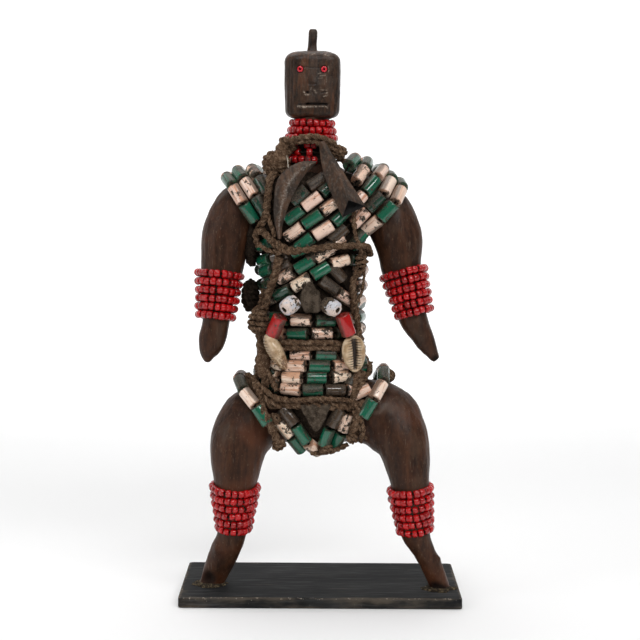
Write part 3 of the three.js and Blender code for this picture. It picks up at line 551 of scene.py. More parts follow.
SOLE = 6.55
TRUNK = [
    (284, -6.3, 10.3, 10.3), (263, -6.8, 11.2, 11.2), (257, -7, 13, 12.5), (251, -7, 21, 16),
    (245, -6.8, 31, 20), (236, -6.5, 35.5, 21.8), (224, -6.4, 34, 22.5), (208, -6.2, 29.5, 22.3),
    (190, -6.2, 26, 21.8), (150, -6, 25, 21.5), (136, -5, 27.5, 22.5), (123, -3, 31.5, 23.8),
    (110, -2, 32.5, 24), (100, -2, 29, 22.5), (93, -2.5, 20, 18), (88, -3, 9, 9.5),
]
LIMBS = {
    "left_arm": [
        (-18, 0, 236, 15, 15), (-45, -0.5, 231.4, 14.4, 15), (-55.3, -2.5, 214, 14.9, 14.6),
        (-58.2, -4, 195.5, 12.7, 12.6), (-61, -7, 176, 9.2, 9.2), (-61.8, -8.5, 162, 8.2, 7.8),
        (-64.2, -9.5, 151.5, 8.1, 6.6), (-66.4, -10, 144.5, 5.6, 5), (-67.2, -10.2, 138.5, 1.6, 2.2),
    ],
    "right_arm": [
        (6, 0, 236, 15, 15), (33, -0.5, 231.4, 14.4, 15), (43.6, -2.5, 214, 14.8, 14.6),
        (46.6, -4, 195, 12, 12.2), (50.5, -7, 176, 9.4, 9.2), (53.3, -8.5, 166, 8.3, 7.8),
        (57.5, -9.5, 157.5, 7, 6.8), (61.7, -10, 150.4, 5.8, 5.6), (67.8, -10.5, 141, 2.4, 2.7),
    ],
    "left_leg": [
        (-10, 0, 110, 18, 20), (-36.5, -5, 106.6, 19, 18), (-45, -9.5, 97.4, 18.4, 16.5),
        (-49, -13, 86.6, 16.6, 15), (-50.4, -17.4, 65, 12, 12), (-50.6, -16.5, 52, 9.8, 9.8),
        (-52.4, -13.8, 37, 8.4, 8), (-56.4, -11, 27, 9, 8), (-61, -8.8, 16, 8.2, 7.4),
        (-67, -7.2, 1, 6.4, 6.6),
    ],
    "right_leg": [
        (6, 0, 110, 18, 20), (35, -5, 108, 19.4, 18), (44, -9.5, 98.6, 18, 16.5),
        (49.4, -13, 87.5, 14.8, 15), (53.4, -17.4, 64, 10.6, 11), (54.4, -17.2, 52, 9.4, 9.8),
        (56.4, -16.5, 38, 8.6, 8.2), (61.4, -15.7, 28, 6.6, 7.2), (66.2, -15, 18, 6.2, 6.8),
        (73, -14.8, 1, 5.4, 6.2),
    ],
}


def oval(centre, across, out, sides, power=2.0):
    """A ring of points; a power over 2 squares it up."""
    ring = []
    for k in range(sides):
        turn = (k + 0.5) / sides * math.tau
        c, s = math.cos(turn), math.sin(turn)
        c = math.copysign(abs(c) ** (2 / power), c)
        s = math.copysign(abs(s) ** (2 / power), s)
        ring.append(Vector(centre) + Vector(across) * c + Vector(out) * s)
    return ring


def limb_rings(sections, sides):
    line = spline(sections, 6)
    rings = []
    for i, (x, y, z, wide, deep) in enumerate(line):
        ahead, behind = line[min(i + 1, len(line) - 1)], line[max(i - 1, 0)]
        along = Vector(ahead[:3] - behind[:3]).normalized()
        out = (Vector((0, 1, 0)) - along * along.y).normalized()
        across = along.cross(out)
        rings.append(oval((x, y, z), across * wide, out * deep, sides))
    return rings


def joined(shapes):
    """Several closed shapes as one list of points and faces."""
    points, faces = [], []
    for more_points, more_faces in shapes:
        start = len(points)
        points += more_points
        faces += [tuple(k + start for k in face) for face in outward(more_points, more_faces)]
    return points, faces


def finished(obj):
    """Bakes a piece's modifiers into its mesh."""
    graph = bpy.context.evaluated_depsgraph_get()
    mesh = bpy.data.meshes.new_from_object(obj.evaluated_get(graph))
    obj.modifiers.clear()
    obj.data = mesh
    return obj


def one_skin(obj, grid, rounds):
    """Grows one even skin over a piece's overlapping shapes, and eases it."""
    remesh = obj.modifiers.new("skin", "REMESH")
    remesh.mode = "VOXEL"
    remesh.voxel_size = grid * MM
    remesh.use_smooth_shade = True
    ease = obj.modifiers.new("ease", "SMOOTH")
    ease.factor = 0.5
    ease.iterations = rounds
    return finished(obj)


def reshape(obj, carve):
    """Moves each point of a mesh by what carve gives for its place and normal, in millimetres."""
    normals = [v.normal.copy() for v in obj.data.vertices]
    for vertex, normal in zip(obj.data.vertices, normals):
        vertex.co += carve(vertex.co / MM, normal) * MM
    obj.data.update()


def rough(*waves):
    """Moves points along their normals by noise: for each wave its size and its height."""
    return lambda p, normal: normal * sum(noise.noise(p / size) * high for size, high in waves)


def skin(name, slot, rings, material, stored=None, carve=None, node=None):
    """A closed piece over rings of points, reshaped if carve is given, that stands for a node if one is."""
    points, faces = loft(rings)
    obj = piece(name, slot, points, outward(points, faces), material, stored)
    if carve:
        reshape(obj, carve)
    if node:
        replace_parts(obj, node)
    return obj


def hill(p, centre, size):
    """A soft round rise: 1 at its centre, and 0 well outside its size."""
    return math.exp(-((p - Vector(centre)).length_squared) / size**2)


# Cut ends of the wood, darkened with painted shade, and its hollows: middle and half size; and the pale swirl
# on the right thigh
SHADED_ENDS = (
    (seen(207.5, 579, -14), 5.2), (seen(436, 587.5, -20), 4.2),
    (seen(443, 590, -19), 3.6), ((67, -14, 142), 2.6),
)
SWIRL = Vector(seen(375, 405, -27))


def shaded_ends_and_swirl(p):
    """How much painted shade darkens the wood at a point, or less than 0 where it is rubbed pale."""
    dark = sum(math.exp(-(((p - Vector(middle)).length / half) ** 4)) for middle, half in SHADED_ENDS)
    across, up = p.x - SWIRL.x, p.z - SWIRL.z
    turn = (math.atan2(up, across) / math.tau) % 1
    pale = math.exp(-(((math.hypot(across, up) - 2.6 - 3.4 * turn) / 1.3) ** 2)) * (p.y < -10)
    return min(1.0, dark) - 0.7 * pale


def knife_marks(p, normal):
    cell = Vector((p.x / 7, p.y / 7, p.z / 26))
    flats = noise.noise(cell) * 0.55 + noise.noise(cell * 2.7) * 0.25
    bumps = 1.5 * hill(p, (-61.5, -19, 29), 2.6) + 1.3 * hill(p, (70.5, -18.5, 24.5), 2.2)
    bumps -= 3 * hill(p, SHADED_ENDS[0][0], 3.3) + 1.5 * hill(p, SHADED_ENDS[1][0], 2.6)
    move = normal * (flats + bumps - 0.1)
    if p.z < SOLE + 0.6:
        move = Vector((0, 0, SOLE - p.z))
    return move


def carve_body():
    slices = spline(TRUNK, 5)
    trunk = [oval((x, 0, z), (wide, 0, 0), (0, deep, 0), 48) for z, x, wide, deep in slices]
    shapes = [loft(trunk)] + [loft(limb_rings(s, 40)) for s in LIMBS.values()]
    points, faces = joined(shapes)
    body = piece("carved_body", "wood", points, faces, WOOD)
    one_skin(body, 1.15, 5)
    for vertex in body.data.vertices:
        vertex.co.z = max(vertex.co.z, SOLE * MM)
    reshape(body, knife_marks)
    shade = [shaded_ends_and_swirl(v.co / MM) for v in body.data.vertices]
    store(body.data, "edge", shade)
    return body


body = carve_body()
BODY = BVHTree.FromPolygons(
    [v.co / MM for v in body.data.vertices], [tuple(f.vertices) for f in body.data.polygons]
)

HEAD = {"x": -6.2, "bottom": 281.2, "top": 319.6, "half_width": 16.2, "half_depth": 13}
CREST = {"x": -6.3, "top": 332.55, "half_width": 2.6, "half_depth": 2.4}
# The head's two front corners are cut off: the side, how squarely the cut faces it, where 1 is fully,
# and how far from the head's middle line the cut lies
CUT_CORNERS = ((-1, 0.8, 19.2), (1, 0.72, 19.6))
EYES = (-13.2, 0.5)
EYE_HEIGHT = 308.9


def on_face(u, v):
    """The place on the face that the photograph shows at a pixel."""
    p = seen(u, v, -13.4)
    return Vector((p[0], p[2]))


# The knife's strokes on the face: from and to, half width, depth (less than 0 stands proud), and how much
# painted highlight it carries, or painted shade where that is less than 0
FACE = [
    (on_face(*start), on_face(*end), half * 0.75, deep, shade * 0.8)
    for start, end, half, deep, shade in (
        ((307, 103.6), (327, 104.2), 0.8, 1.7, -1.3), ((298, 104.5), (308, 104), 0.5, 0.8, -0.7),
        ((297.8, 106.1), (304, 106.9), 0.7, -0.35, 1.3), ((304, 106.9), (314, 106.5), 0.65, -0.35, 1.1),
        ((314, 106.5), (325, 106.1), 0.6, -0.3, 0.8), ((325, 106.1), (327.2, 107.8), 0.5, -0.1, 0.8),
        ((307, 92.2), (307.6, 92.2), 0.85, 1.8, -1.6), ((303.6, 91.6), (305.6, 94.3), 0.45, -0.3, 1.4),
        ((305.6, 94.3), (308.8, 94.7), 0.45, -0.3, 1.3), ((314, 89.6), (316.3, 93.4), 0.55, -0.2, 0.6),
        ((310, 91), (311.3, 87.8), 0.55, -0.2, 0.4), ((312.4, 91), (313.5, 94.6), 0.5, 0.5, -0.6),
        ((321.4, 92.6), (325.4, 91.8), 0.5, 0.8, -0.8), ((323.6, 96.4), (327.4, 95.2), 0.45, -0.2, 0.8),
        ((325.8, 93.2), (327.4, 92.6), 0.45, -0.2, 0.9), ((320.6, 89.8), (327, 90.2), 0.45, -0.1, 0.5),
        ((317.5, 74), (320.8, 72.8), 0.45, -0.1, 0.7), ((320, 75.9), (325.4, 75.2), 0.45, -0.1, 0.6),
        ((318, 78.6), (322.2, 78), 0.45, -0.1, 0.3), ((326.6, 77), (326.4, 82), 0.5, -0.1, 0.3),
        ((324.2, 81), (324.8, 85), 0.45, -0.1, 0.25), ((328.2, 66.5), (328.8, 71.5), 0.5, -0.1, 0.6),
        ((303.8, 67), (318.8, 67.8), 0.4, 0.5, -0.6), ((325, 54.2), (328.4, 55.3), 0.55, -0.1, 0.8),
        ((310.6, 54.6), (315, 53.2), 0.6, -0.1, 0.45), ((289.4, 58), (289, 113), 0.6, 0.4, -0.8),
        ((293, 60), (292, 112), 0.5, 0.3, -0.5), ((296.4, 64), (295.6, 106), 0.7, 0.25, -0.35),
        ((309, 84), (316, 84.4), 0.6, 0.3, -0.4), ((300, 80), (299.4, 98), 0.5, 0.2, -0.3),
    )
]


def face_marks(x, z):
    """How deep the knife went into the face at a place, and how much painted highlight, or painted shade
    where less than 0, it has there.
    """
    cut = shade = 0.0
    for side in EYES:
        away = math.hypot(x - side, z - EYE_HEIGHT)
        cut += 1.3 * max(0, min(1, (1.9 - away) / 0.5))
        # a ring of painted shade round each eye's hollow
        shade -= 0.5 * math.exp(-(((away - 1.9) / 0.5) ** 2))
    cut -= 0.9 * max(0, 1 - abs(x + 4.2) / 5.5) * max(0, 1 - abs(z - 300) / 8)
    for start, end, half, deep, painted_light_and_shade in FACE:
        line = end - start
        share = min(1, max(0, (Vector((x, z)) - start).dot(line) / line.length_squared))
        near = math.exp(-(((Vector((x, z)) - start - line * share).length / half) ** 2))
        cut += deep * near
        shade += painted_light_and_shade * near
    return cut, shade


def carve_head():
    rings = []
    low, high = HEAD["bottom"], HEAD["top"]
    for k in range(61):
        z = low + (high - low) * k / 60
        share = (z - low) / (high - low)
        end = min(1, (z - low) / 4.5), min(1, (high - z) / 5.5)
        round_off = math.sqrt(1 - (1 - min(end)) ** 2) * 0.34 + 0.66
        girth = 0.955 + 0.045 * math.sin(math.pi / 2 * min(1, share * 1.5))
        wide = HEAD["half_width"] * girth * round_off
        deep = HEAD["half_depth"] * round_off
        rings.append(oval((HEAD["x"], 0, z), (wide, 0, 0), (0, deep, 0), 64, 4.4))
    lean = []
    for k in range(13):
        share = k / 12
        z = HEAD["top"] - 4 + (CREST["top"] - HEAD["top"] + 4) * share
        tip = math.sqrt(max(0.55, 1 - max(0, (share - 0.93) / 0.07) ** 2))
        flare = 1 + 0.65 * max(0, 1 - share / 0.5) ** 2
        x = CREST["x"] - 0.45 + 0.9 * share
        half = CREST["half_width"] * flare * tip
        lean.append(oval((x, 0, z), (half, 0, 0), (0, CREST["half_depth"] * flare * tip, 0), 24, 3))
    points, faces = joined([loft(rings), loft(lean)])
    head = piece("carved_head", "wood", points, faces, HEAD_WOOD)
    one_skin(head, 0.42, 5)

    def knife(p, normal):
        q = p.copy()
        for side, share, far in CUT_CORNERS:
            across = Vector((side * share, -math.sqrt(1 - share**2), 0))
            over = (q - Vector((HEAD["x"], 0, q.z))).dot(across) - far + 0.02 * abs(q.z - 300)
            if over > 0:
                q -= across * over
        cell = Vector((p.x / 5, p.y / 5, p.z / 14))
        q += normal * (noise.noise(cell) * 0.4 + noise.noise(cell * 3.1) * 0.16)
        if p.z < HEAD["top"] + 1:
            q.z -= 0.005 * (p.x - HEAD["x"]) ** 2 * max(0, p.z - HEAD["top"] + 7) / 7
        if normal.y < -0.55 and p.z < HEAD["top"] - 1:
            q.y += face_marks(p.x, p.z)[0]
        return q - p

    places = [(v.co / MM, v.normal.y) for v in head.data.vertices]
    reshape(head, knife)
    # the face's painted highlight and painted shade, stored as edge
    shade = [face_marks(p.x, p.z)[1] if out < -0.55 and p.z < HEAD["top"] - 1 else 0.0 for p, out in places]
    store(head.data, "edge", shade)
    return head


head = carve_head()
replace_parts(body, "wooden_figure")
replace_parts(head, "wooden_figure")


# Laying a route on the wood


def lifted(p, lift):
    """The point at a height above the wood, straight out from where it is nearest."""
    near, normal, _, _ = BODY.find_nearest(p)
    way = p - near
    if way.length < 0.3 or way.dot(normal) < 0:
        way = normal
    return near + way.normalized() * lift


def lay(route, lift, closed=False, step=1.0):
    """Points along a route on the wood. A fourth number in a point is a lift of its own."""
    lifts = [p[3] if len(p) > 3 else lift for p in route]
    knots = [(*lifted(Vector(p[:3]), own), own) for p, own in zip(route, lifts)]
    line = evenly(spline(knots, 12, closed), step, closed)
    for _ in range(2):
        line[:, :3] = [lifted(Vector(p[:3]), p[3]) for p in line]
        before, after = np.roll(line, 1, 0), np.roll(line, -1, 0)
        eased = (before + 2 * line + after) / 4
        if not closed:
            eased[0], eased[-1] = line[0], line[-1]
        line = eased
    return evenly(line, step, closed)[:, :3]


def length_of(line, closed=False):
    line = np.vstack([line, line[:1]]) if closed else line
    return float(np.linalg.norm(np.diff(line, axis=0), axis=1).sum())


def along(line, distance, closed=False):
    """The point at a distance along a line, which runs on straight past its ends."""
    total = length_of(line, closed)
    ring = np.vstack([line, line[:1]]) if closed else line
    at = np.concatenate([[0], np.cumsum(np.linalg.norm(np.diff(ring, axis=0), axis=1))])
    if closed:
        distance %= total
    spot = Vector([np.interp(distance, at, ring[:, k]) for k in range(3)])
    if distance < 0:
        spot += Vector(ring[1] - ring[0]).normalized() * distance
    elif distance > total:
        spot += Vector(ring[-1] - ring[-2]).normalized() * (distance - total)
    return spot


# Beads threaded on a route


def turned(profile, sides):
    """A ring-shaped solid, turned from a closed outline of radius and height."""
    turns = [k / sides * math.tau for k in range(sides)]
    ways = [(math.cos(t), math.sin(t)) for t in turns]
    rings = [[Vector((radius * c, radius * s, z)) for c, s in ways] for radius, z in profile]
    points, faces = loft(rings, True)
    return points, outward(points, faces)


def mirrored(profile):
    return profile + [(radius, -z) for radius, z in reversed(profile)]


def bead_shape(name, profile, sides, material, half):
    points, faces = turned(profile, sides)
    ends = [max(0.0, (abs(p.z) / half - 0.82) / 0.18) for p in points]
    ends = [1.0 if p.xy.length < profile[0][0] * 1.05 else e for p, e in zip(points, ends)]
    return piece(name, None, points, faces, material, {"ends": ends})


TUBE = {"length": 12.1, "pitch": 12.9}
SEED = {"radius": 2.3, "length": 3.5}
tube_bead = bead_shape(
    "tube_bead_shape",
    mirrored([(0.95, 5.7), (1.2, 6), (3.35, 6.02), (3.66, 5.8), (3.76, 5.2)]),
    16, TUBE_GLASS, 6,
)
seed_bead = bead_shape(
    "seed_bead_shape",
    mirrored([(0.7, 1.5), (1.5, 1.78), (2.1, 1.4), (2.3, 0.5)]),
    12, SEED_GLASS, 1.8,
)
eye_bead = bead_shape(
    "eye_bead_shape",
    [(0.62, 0.4), (0.85, 0.85), (1.2, 1), (1.6, 0.7), (1.75, 0.1), (1.6, -0.7), (1.2, -1), (0.62, -0.6)],
    20, SEED_GLASS, 1.2,
)


def new_tree(name, inputs):
    """A node tree that takes a mesh and named inputs, each of a kind and a usual value, and gives a mesh."""
    group = bpy.data.node_groups.new(name, "GeometryNodeTree")
    group.interface.new_socket("Geometry", in_out="INPUT", socket_type="NodeSocketGeometry")
    for key, (kind, value) in inputs.items():
        socket = group.interface.new_socket(key, in_out="INPUT", socket_type="NodeSocket" + kind)
        if value is not None:
            socket.default_value = value
    group.interface.new_socket("Geometry", in_out="OUTPUT", socket_type="NodeSocketGeometry")
    return group


def threading_tree():
    """Puts a bead on every point of a mesh, turned and sized as the point says."""
    inputs = {"Bead": ("Object", None), "Finish": ("Material", None), "Wobble": ("Float", 0.03)}
    group = new_tree("threaded_beads", inputs)

    def node(kind, inputs, out=0, **settings):
        return add_node(group, kind, settings, inputs).outputs[out]

    given = add_node(group, "NodeGroupInput", {}, {})
    shape = node("GeometryNodeObjectInfo", {"Object": given.outputs["Bead"]}, "Geometry")
    place_on_bead = node("GeometryNodeInputPosition", {})
    shape = node(
        "GeometryNodeStoreNamedAttribute",
        {"Geometry": shape, "Name": "spot", "Value": place_on_bead},
        data_type="FLOAT_VECTOR", domain="POINT",
    )
    sway = given.outputs["Wobble"]
    least = node("ShaderNodeVectorMath", {0: (-1, -1, -1), "Scale": sway}, operation="SCALE")
    most = node("ShaderNodeVectorMath", {0: (1, 1, 1), "Scale": sway}, operation="SCALE")
    sway = node("FunctionNodeRandomValue", {0: least, 1: most, "Seed": 5}, 0, data_type="FLOAT_VECTOR")
    turn = node("GeometryNodeInputNamedAttribute", {"Name": "turn"}, 0, data_type="FLOAT_VECTOR")
    turn = node("ShaderNodeVectorMath", {0: turn, 1: sway}, operation="ADD")
    turn = node("FunctionNodeEulerToRotation", {"Euler": turn})
    size = node("GeometryNodeInputNamedAttribute", {"Name": "size"}, 0, data_type="FLOAT_VECTOR")
    beads = node(
        "GeometryNodeInstanceOnPoints",
        {"Points": given.outputs["Geometry"], "Instance": shape, "Rotation": turn, "Scale": size},
    )
    beads = node("GeometryNodeRealizeInstances", {"Geometry": beads})
    beads = node("GeometryNodeSetMaterial", {"Geometry": beads, "Material": given.outputs["Finish"]})
    add_node(group, "NodeGroupOutput", {}, {"Geometry": beads})
    return group


def cord_tree():
    """Lays twisted plies round a line, with an uneven crust."""
    numbers = {"Radius": 0.002, "Plies": 2.0, "Turn": 0.01, "Groove": 0.4, "Crust": 0.0005}
    inputs = {name: ("Float", value) for name, value in numbers.items()}
    inputs.update({"Sides": ("Int", 16), "Finish": ("Material", None)})
    group = new_tree("twisted_cord", inputs)

    def node(kind, inputs, out=0, **settings):
        return Wire(group, add_node(group, kind, settings, inputs).outputs[out])

    def stored(geometry, name, value, kind="FLOAT_VECTOR"):
        inputs = {"Geometry": geometry, "Name": name, "Value": value}
        return node("GeometryNodeStoreNamedAttribute", inputs, data_type=kind, domain="POINT")

    given = {s.name: Wire(group, s) for s in add_node(group, "NodeGroupInput", {}, {}).outputs}
    line = node("GeometryNodeMeshToCurve", {"Mesh": given["Geometry"]})
    run = node("GeometryNodeSplineParameter", {}, "Length")
    line = node("GeometryNodeSetCurveTilt", {"Curve": line, "Tilt": run / given["Turn"] * math.tau})
    line = stored(line, "far", run, "FLOAT")
    circle = {"Resolution": given["Sides"], "Radius": given["Radius"]}
    ring = node("GeometryNodeCurvePrimitiveCircle", circle)
    here = node("GeometryNodeInputPosition", {})
    parts = add_node(group, "ShaderNodeSeparateXYZ", {}, {0: here})
    right, ahead = (Wire(group, parts.outputs[k]) for k in (0, 1))
    angle = ahead.math("ARCTAN2", ahead, right)
    lobes = angle.math("ABSOLUTE", angle.math("COSINE", angle * given["Plies"] * 0.5))
    shrink = 1 - given["Groove"] + lobes * given["Groove"]
    bent = node("ShaderNodeVectorMath", {0: here, "Scale": shrink}, operation="SCALE")
    ring = node("GeometryNodeSetPosition", {"Geometry": ring, "Position": bent})
    ring = stored(ring, "round", bent)
    skin = node("GeometryNodeCurveToMesh", {"Curve": line, "Profile Curve": ring, "Fill Caps": True})
    where = node("GeometryNodeInputPosition", {})
    coarse = node("ShaderNodeTexNoise", {"Vector": where, "Scale": 300.0, "Detail": 2.0, "Roughness": 0.6})
    fine = node("ShaderNodeTexNoise", {"Vector": where, "Scale": 1100.0, "Detail": 2.0, "Roughness": 0.6})
    swell = (coarse * 1.4 + fine * 0.8 - 1.15) * given["Crust"] * 2.0
    normal = node("GeometryNodeInputNormal", {})
    move = node("ShaderNodeVectorMath", {0: normal, "Scale": swell}, operation="SCALE")
    skin = node("GeometryNodeSetPosition", {"Geometry": skin, "Offset": move})
    around = node("GeometryNodeInputNamedAttribute", {"Name": "round"}, 0, data_type="FLOAT_VECTOR")
    far = node("GeometryNodeInputNamedAttribute", {"Name": "far"}, 0, data_type="FLOAT")
    height = node("ShaderNodeCombineXYZ", {2: far})
    coordinates = node("ShaderNodeVectorMath", {0: around, 1: height}, operation="ADD")
    skin = stored(skin, "run", coordinates)
    skin = node("GeometryNodeSetShadeSmooth", {"Geometry": skin})
    skin = node("GeometryNodeSetMaterial", {"Geometry": skin, "Material": given["Finish"]})
    add_node(group, "NodeGroupOutput", {}, {"Geometry": skin})
    return group


THREADING = threading_tree()
TWISTING = cord_tree()


def grown(obj, group, values):
    """Runs a tree on a piece, with values for its named inputs, and keeps what it makes."""
    modifier = obj.modifiers.new(group.name, "NODES")
    modifier.node_group = group
    for item in group.interface.items_tree:
        if item.in_out == "INPUT" and item.name in values:
            modifier[item.identifier] = values[item.name]
    return finished(obj)


# What each letter in a strand's beads stands for: its colour and its wear
GREEN = (0.001, 0.118, 0.062)
PINK = (1.0, 0.73, 0.58)
KINDS = {
    "G": (GREEN, 0.02), "g": (GREEN, 0.14), "P": (PINK, 0.0), "p": (PINK, 0.28), "w": (PINK, 0.38),
    "D": ((0.006, 0.05, 0.03), 0.24), "d": ((0.003, 0.055, 0.03), 0.24), "B": ((0.07, 0.045, 0.028),
        0.34),
}


def beads_on(name, slot, spots, shape, material, wobble):
    """One piece of beads: each spot is a place, a direction, a size, a tint and a wear."""
    mesh = bpy.data.meshes.new(name)
    mesh.from_pydata([place_ * MM for place_, _, _, _, _ in spots], [], [])
    turns = [way.to_track_quat("Z", "Y").to_euler() for _, way, _, _, _ in spots]
    turns = [(t.x, t.y, t.z) for t in turns]
    flat = lambda rows: [value for row in rows for value in row]
    for key, kind, field, values in (
        ("turn", "FLOAT_VECTOR", "vector", flat(turns)),
        ("size", "FLOAT_VECTOR", "vector", flat(size for _, _, size, _, _ in spots)),
        ("tint", "FLOAT_COLOR", "color", flat((*tint, 1.0) for _, _, _, tint, _ in spots)),
        ("wear", "FLOAT", "value", [wear for _, _, _, _, wear in spots]),
        ("chance", "FLOAT", "value", [dice.random() for _ in spots]),
    ):
        mesh.attributes.new(key, kind, "POINT").data.foreach_set(field, values)
    obj = place(bpy.data.objects.new(name, mesh), slot)
    obj.data.materials.append(material)
    grown(obj, THREADING, {"Bead": shape, "Finish": material, "Wobble": wobble})
    obj.data.shade_smooth()
    return obj


def tinted(colour, spread):
    """The colour, a little lighter or darker, and with hardly another hue."""
    light = 1 + dice.uniform(-spread, spread)
    return tuple(min(1, c * light * (1 + dice.uniform(-0.2, 0.2) * spread)) for c in colour)


def cord(
    name, line, radius, material=CORD, closed=False, plies=2, turn=9.0, groove=0.42, crust=0.35, sides=14
):
    """A twisted cord along a line of points."""
    count = len(line)
    edges = [(k, k + 1) for k in range(count - 1)] + ([(count - 1, 0)] if closed else [])
    mesh = bpy.data.meshes.new(name)
    mesh.from_pydata([Vector(p) * MM for p in line], edges, [])
    obj = place(bpy.data.objects.new(name, mesh), "fibre_cord")
    if closed:
        whole = length_of(np.array(line), True)
        turn = whole / max(1, round(whole / turn))
    values = {"Radius": radius * MM, "Plies": float(plies), "Turn": turn * MM, "Groove": groove}
    values.update({"Crust": crust * MM, "Sides": sides, "Finish": material})
    return grown(obj, TWISTING, values)


THREADS = []
OVERHANG = 1.5  # how far an end bead may stand out past its route


def strand(name, route, lift, beads, first, closed=False, pitch=TUBE["pitch"], node=None, slot=None):
    """Strings tube beads on a route. first is the pixel at the middle of the first bead that is listed,
    or None to start from the route's middle; the beads before and after the list are green and pink by turns.
    node is the node that the strand stands for, its own name if none is given, or "none" for no node."""
    line = lay(route, lift, closed)
    total = length_of(line, closed)
    if closed:
        count = round(total / pitch)
        pitch = total / count
    if first is None:
        near = len(line) // 2
    else:
        front = [k for k in range(len(line)) if line[k][1] < 0]
        near = min(front, key=lambda k: (pixel_of(line[k]) - Vector(first)).length)
    start = near * total / (len(line) if closed else len(line) - 1)
    if first is None and math.floor(total / pitch) % 2 == 0:
        start += pitch / 2
    half = TUBE["length"] / 2
    if closed:
        steps = range(count)
    else:
        least = math.ceil((half - OVERHANG - start) / pitch)
        most = math.floor((total - half + OVERHANG - start) / pitch)
        steps = range(least, most + 1)
    spots = []
    for k in steps:
        at = start + k * pitch
        a, b = along(line, at - half, closed), along(line, at + half, closed)
        if 0 <= k < len(beads):
            letter = beads[k]
        else:
            warm = beads[0] in "PpwB" if k < 0 else beads[-1] in "PpwB"
            away = -k if k < 0 else k - len(beads) + 1
            letter = dice.choice("Gggd" if warm == (away % 2 == 1) else "Pppw")
        colour, wear = KINDS[letter]
        size = (dice.uniform(0.96, 1.03),) * 2 + (dice.uniform(0.95, 1.02),)
        middle = (a + b) / 2
        wear += dice.uniform(-0.06, 0.06) + 0.08 * (middle.x < -33)
        spots.append((middle, b - a, size, tinted(colour, 0.12), wear))
    THREADS.append((line, closed))
    node = node or name
    slot = slot or next(p["material_slot"] for p in frame["record"]["subparts"] if p["node"] == node)
    obj = beads_on(name + "_beads", slot, spots, tube_bead, TUBE_GLASS, 0.035)
    if node != "none":
        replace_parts(obj, node)
    return obj


BEAD_LIFT = 3.95
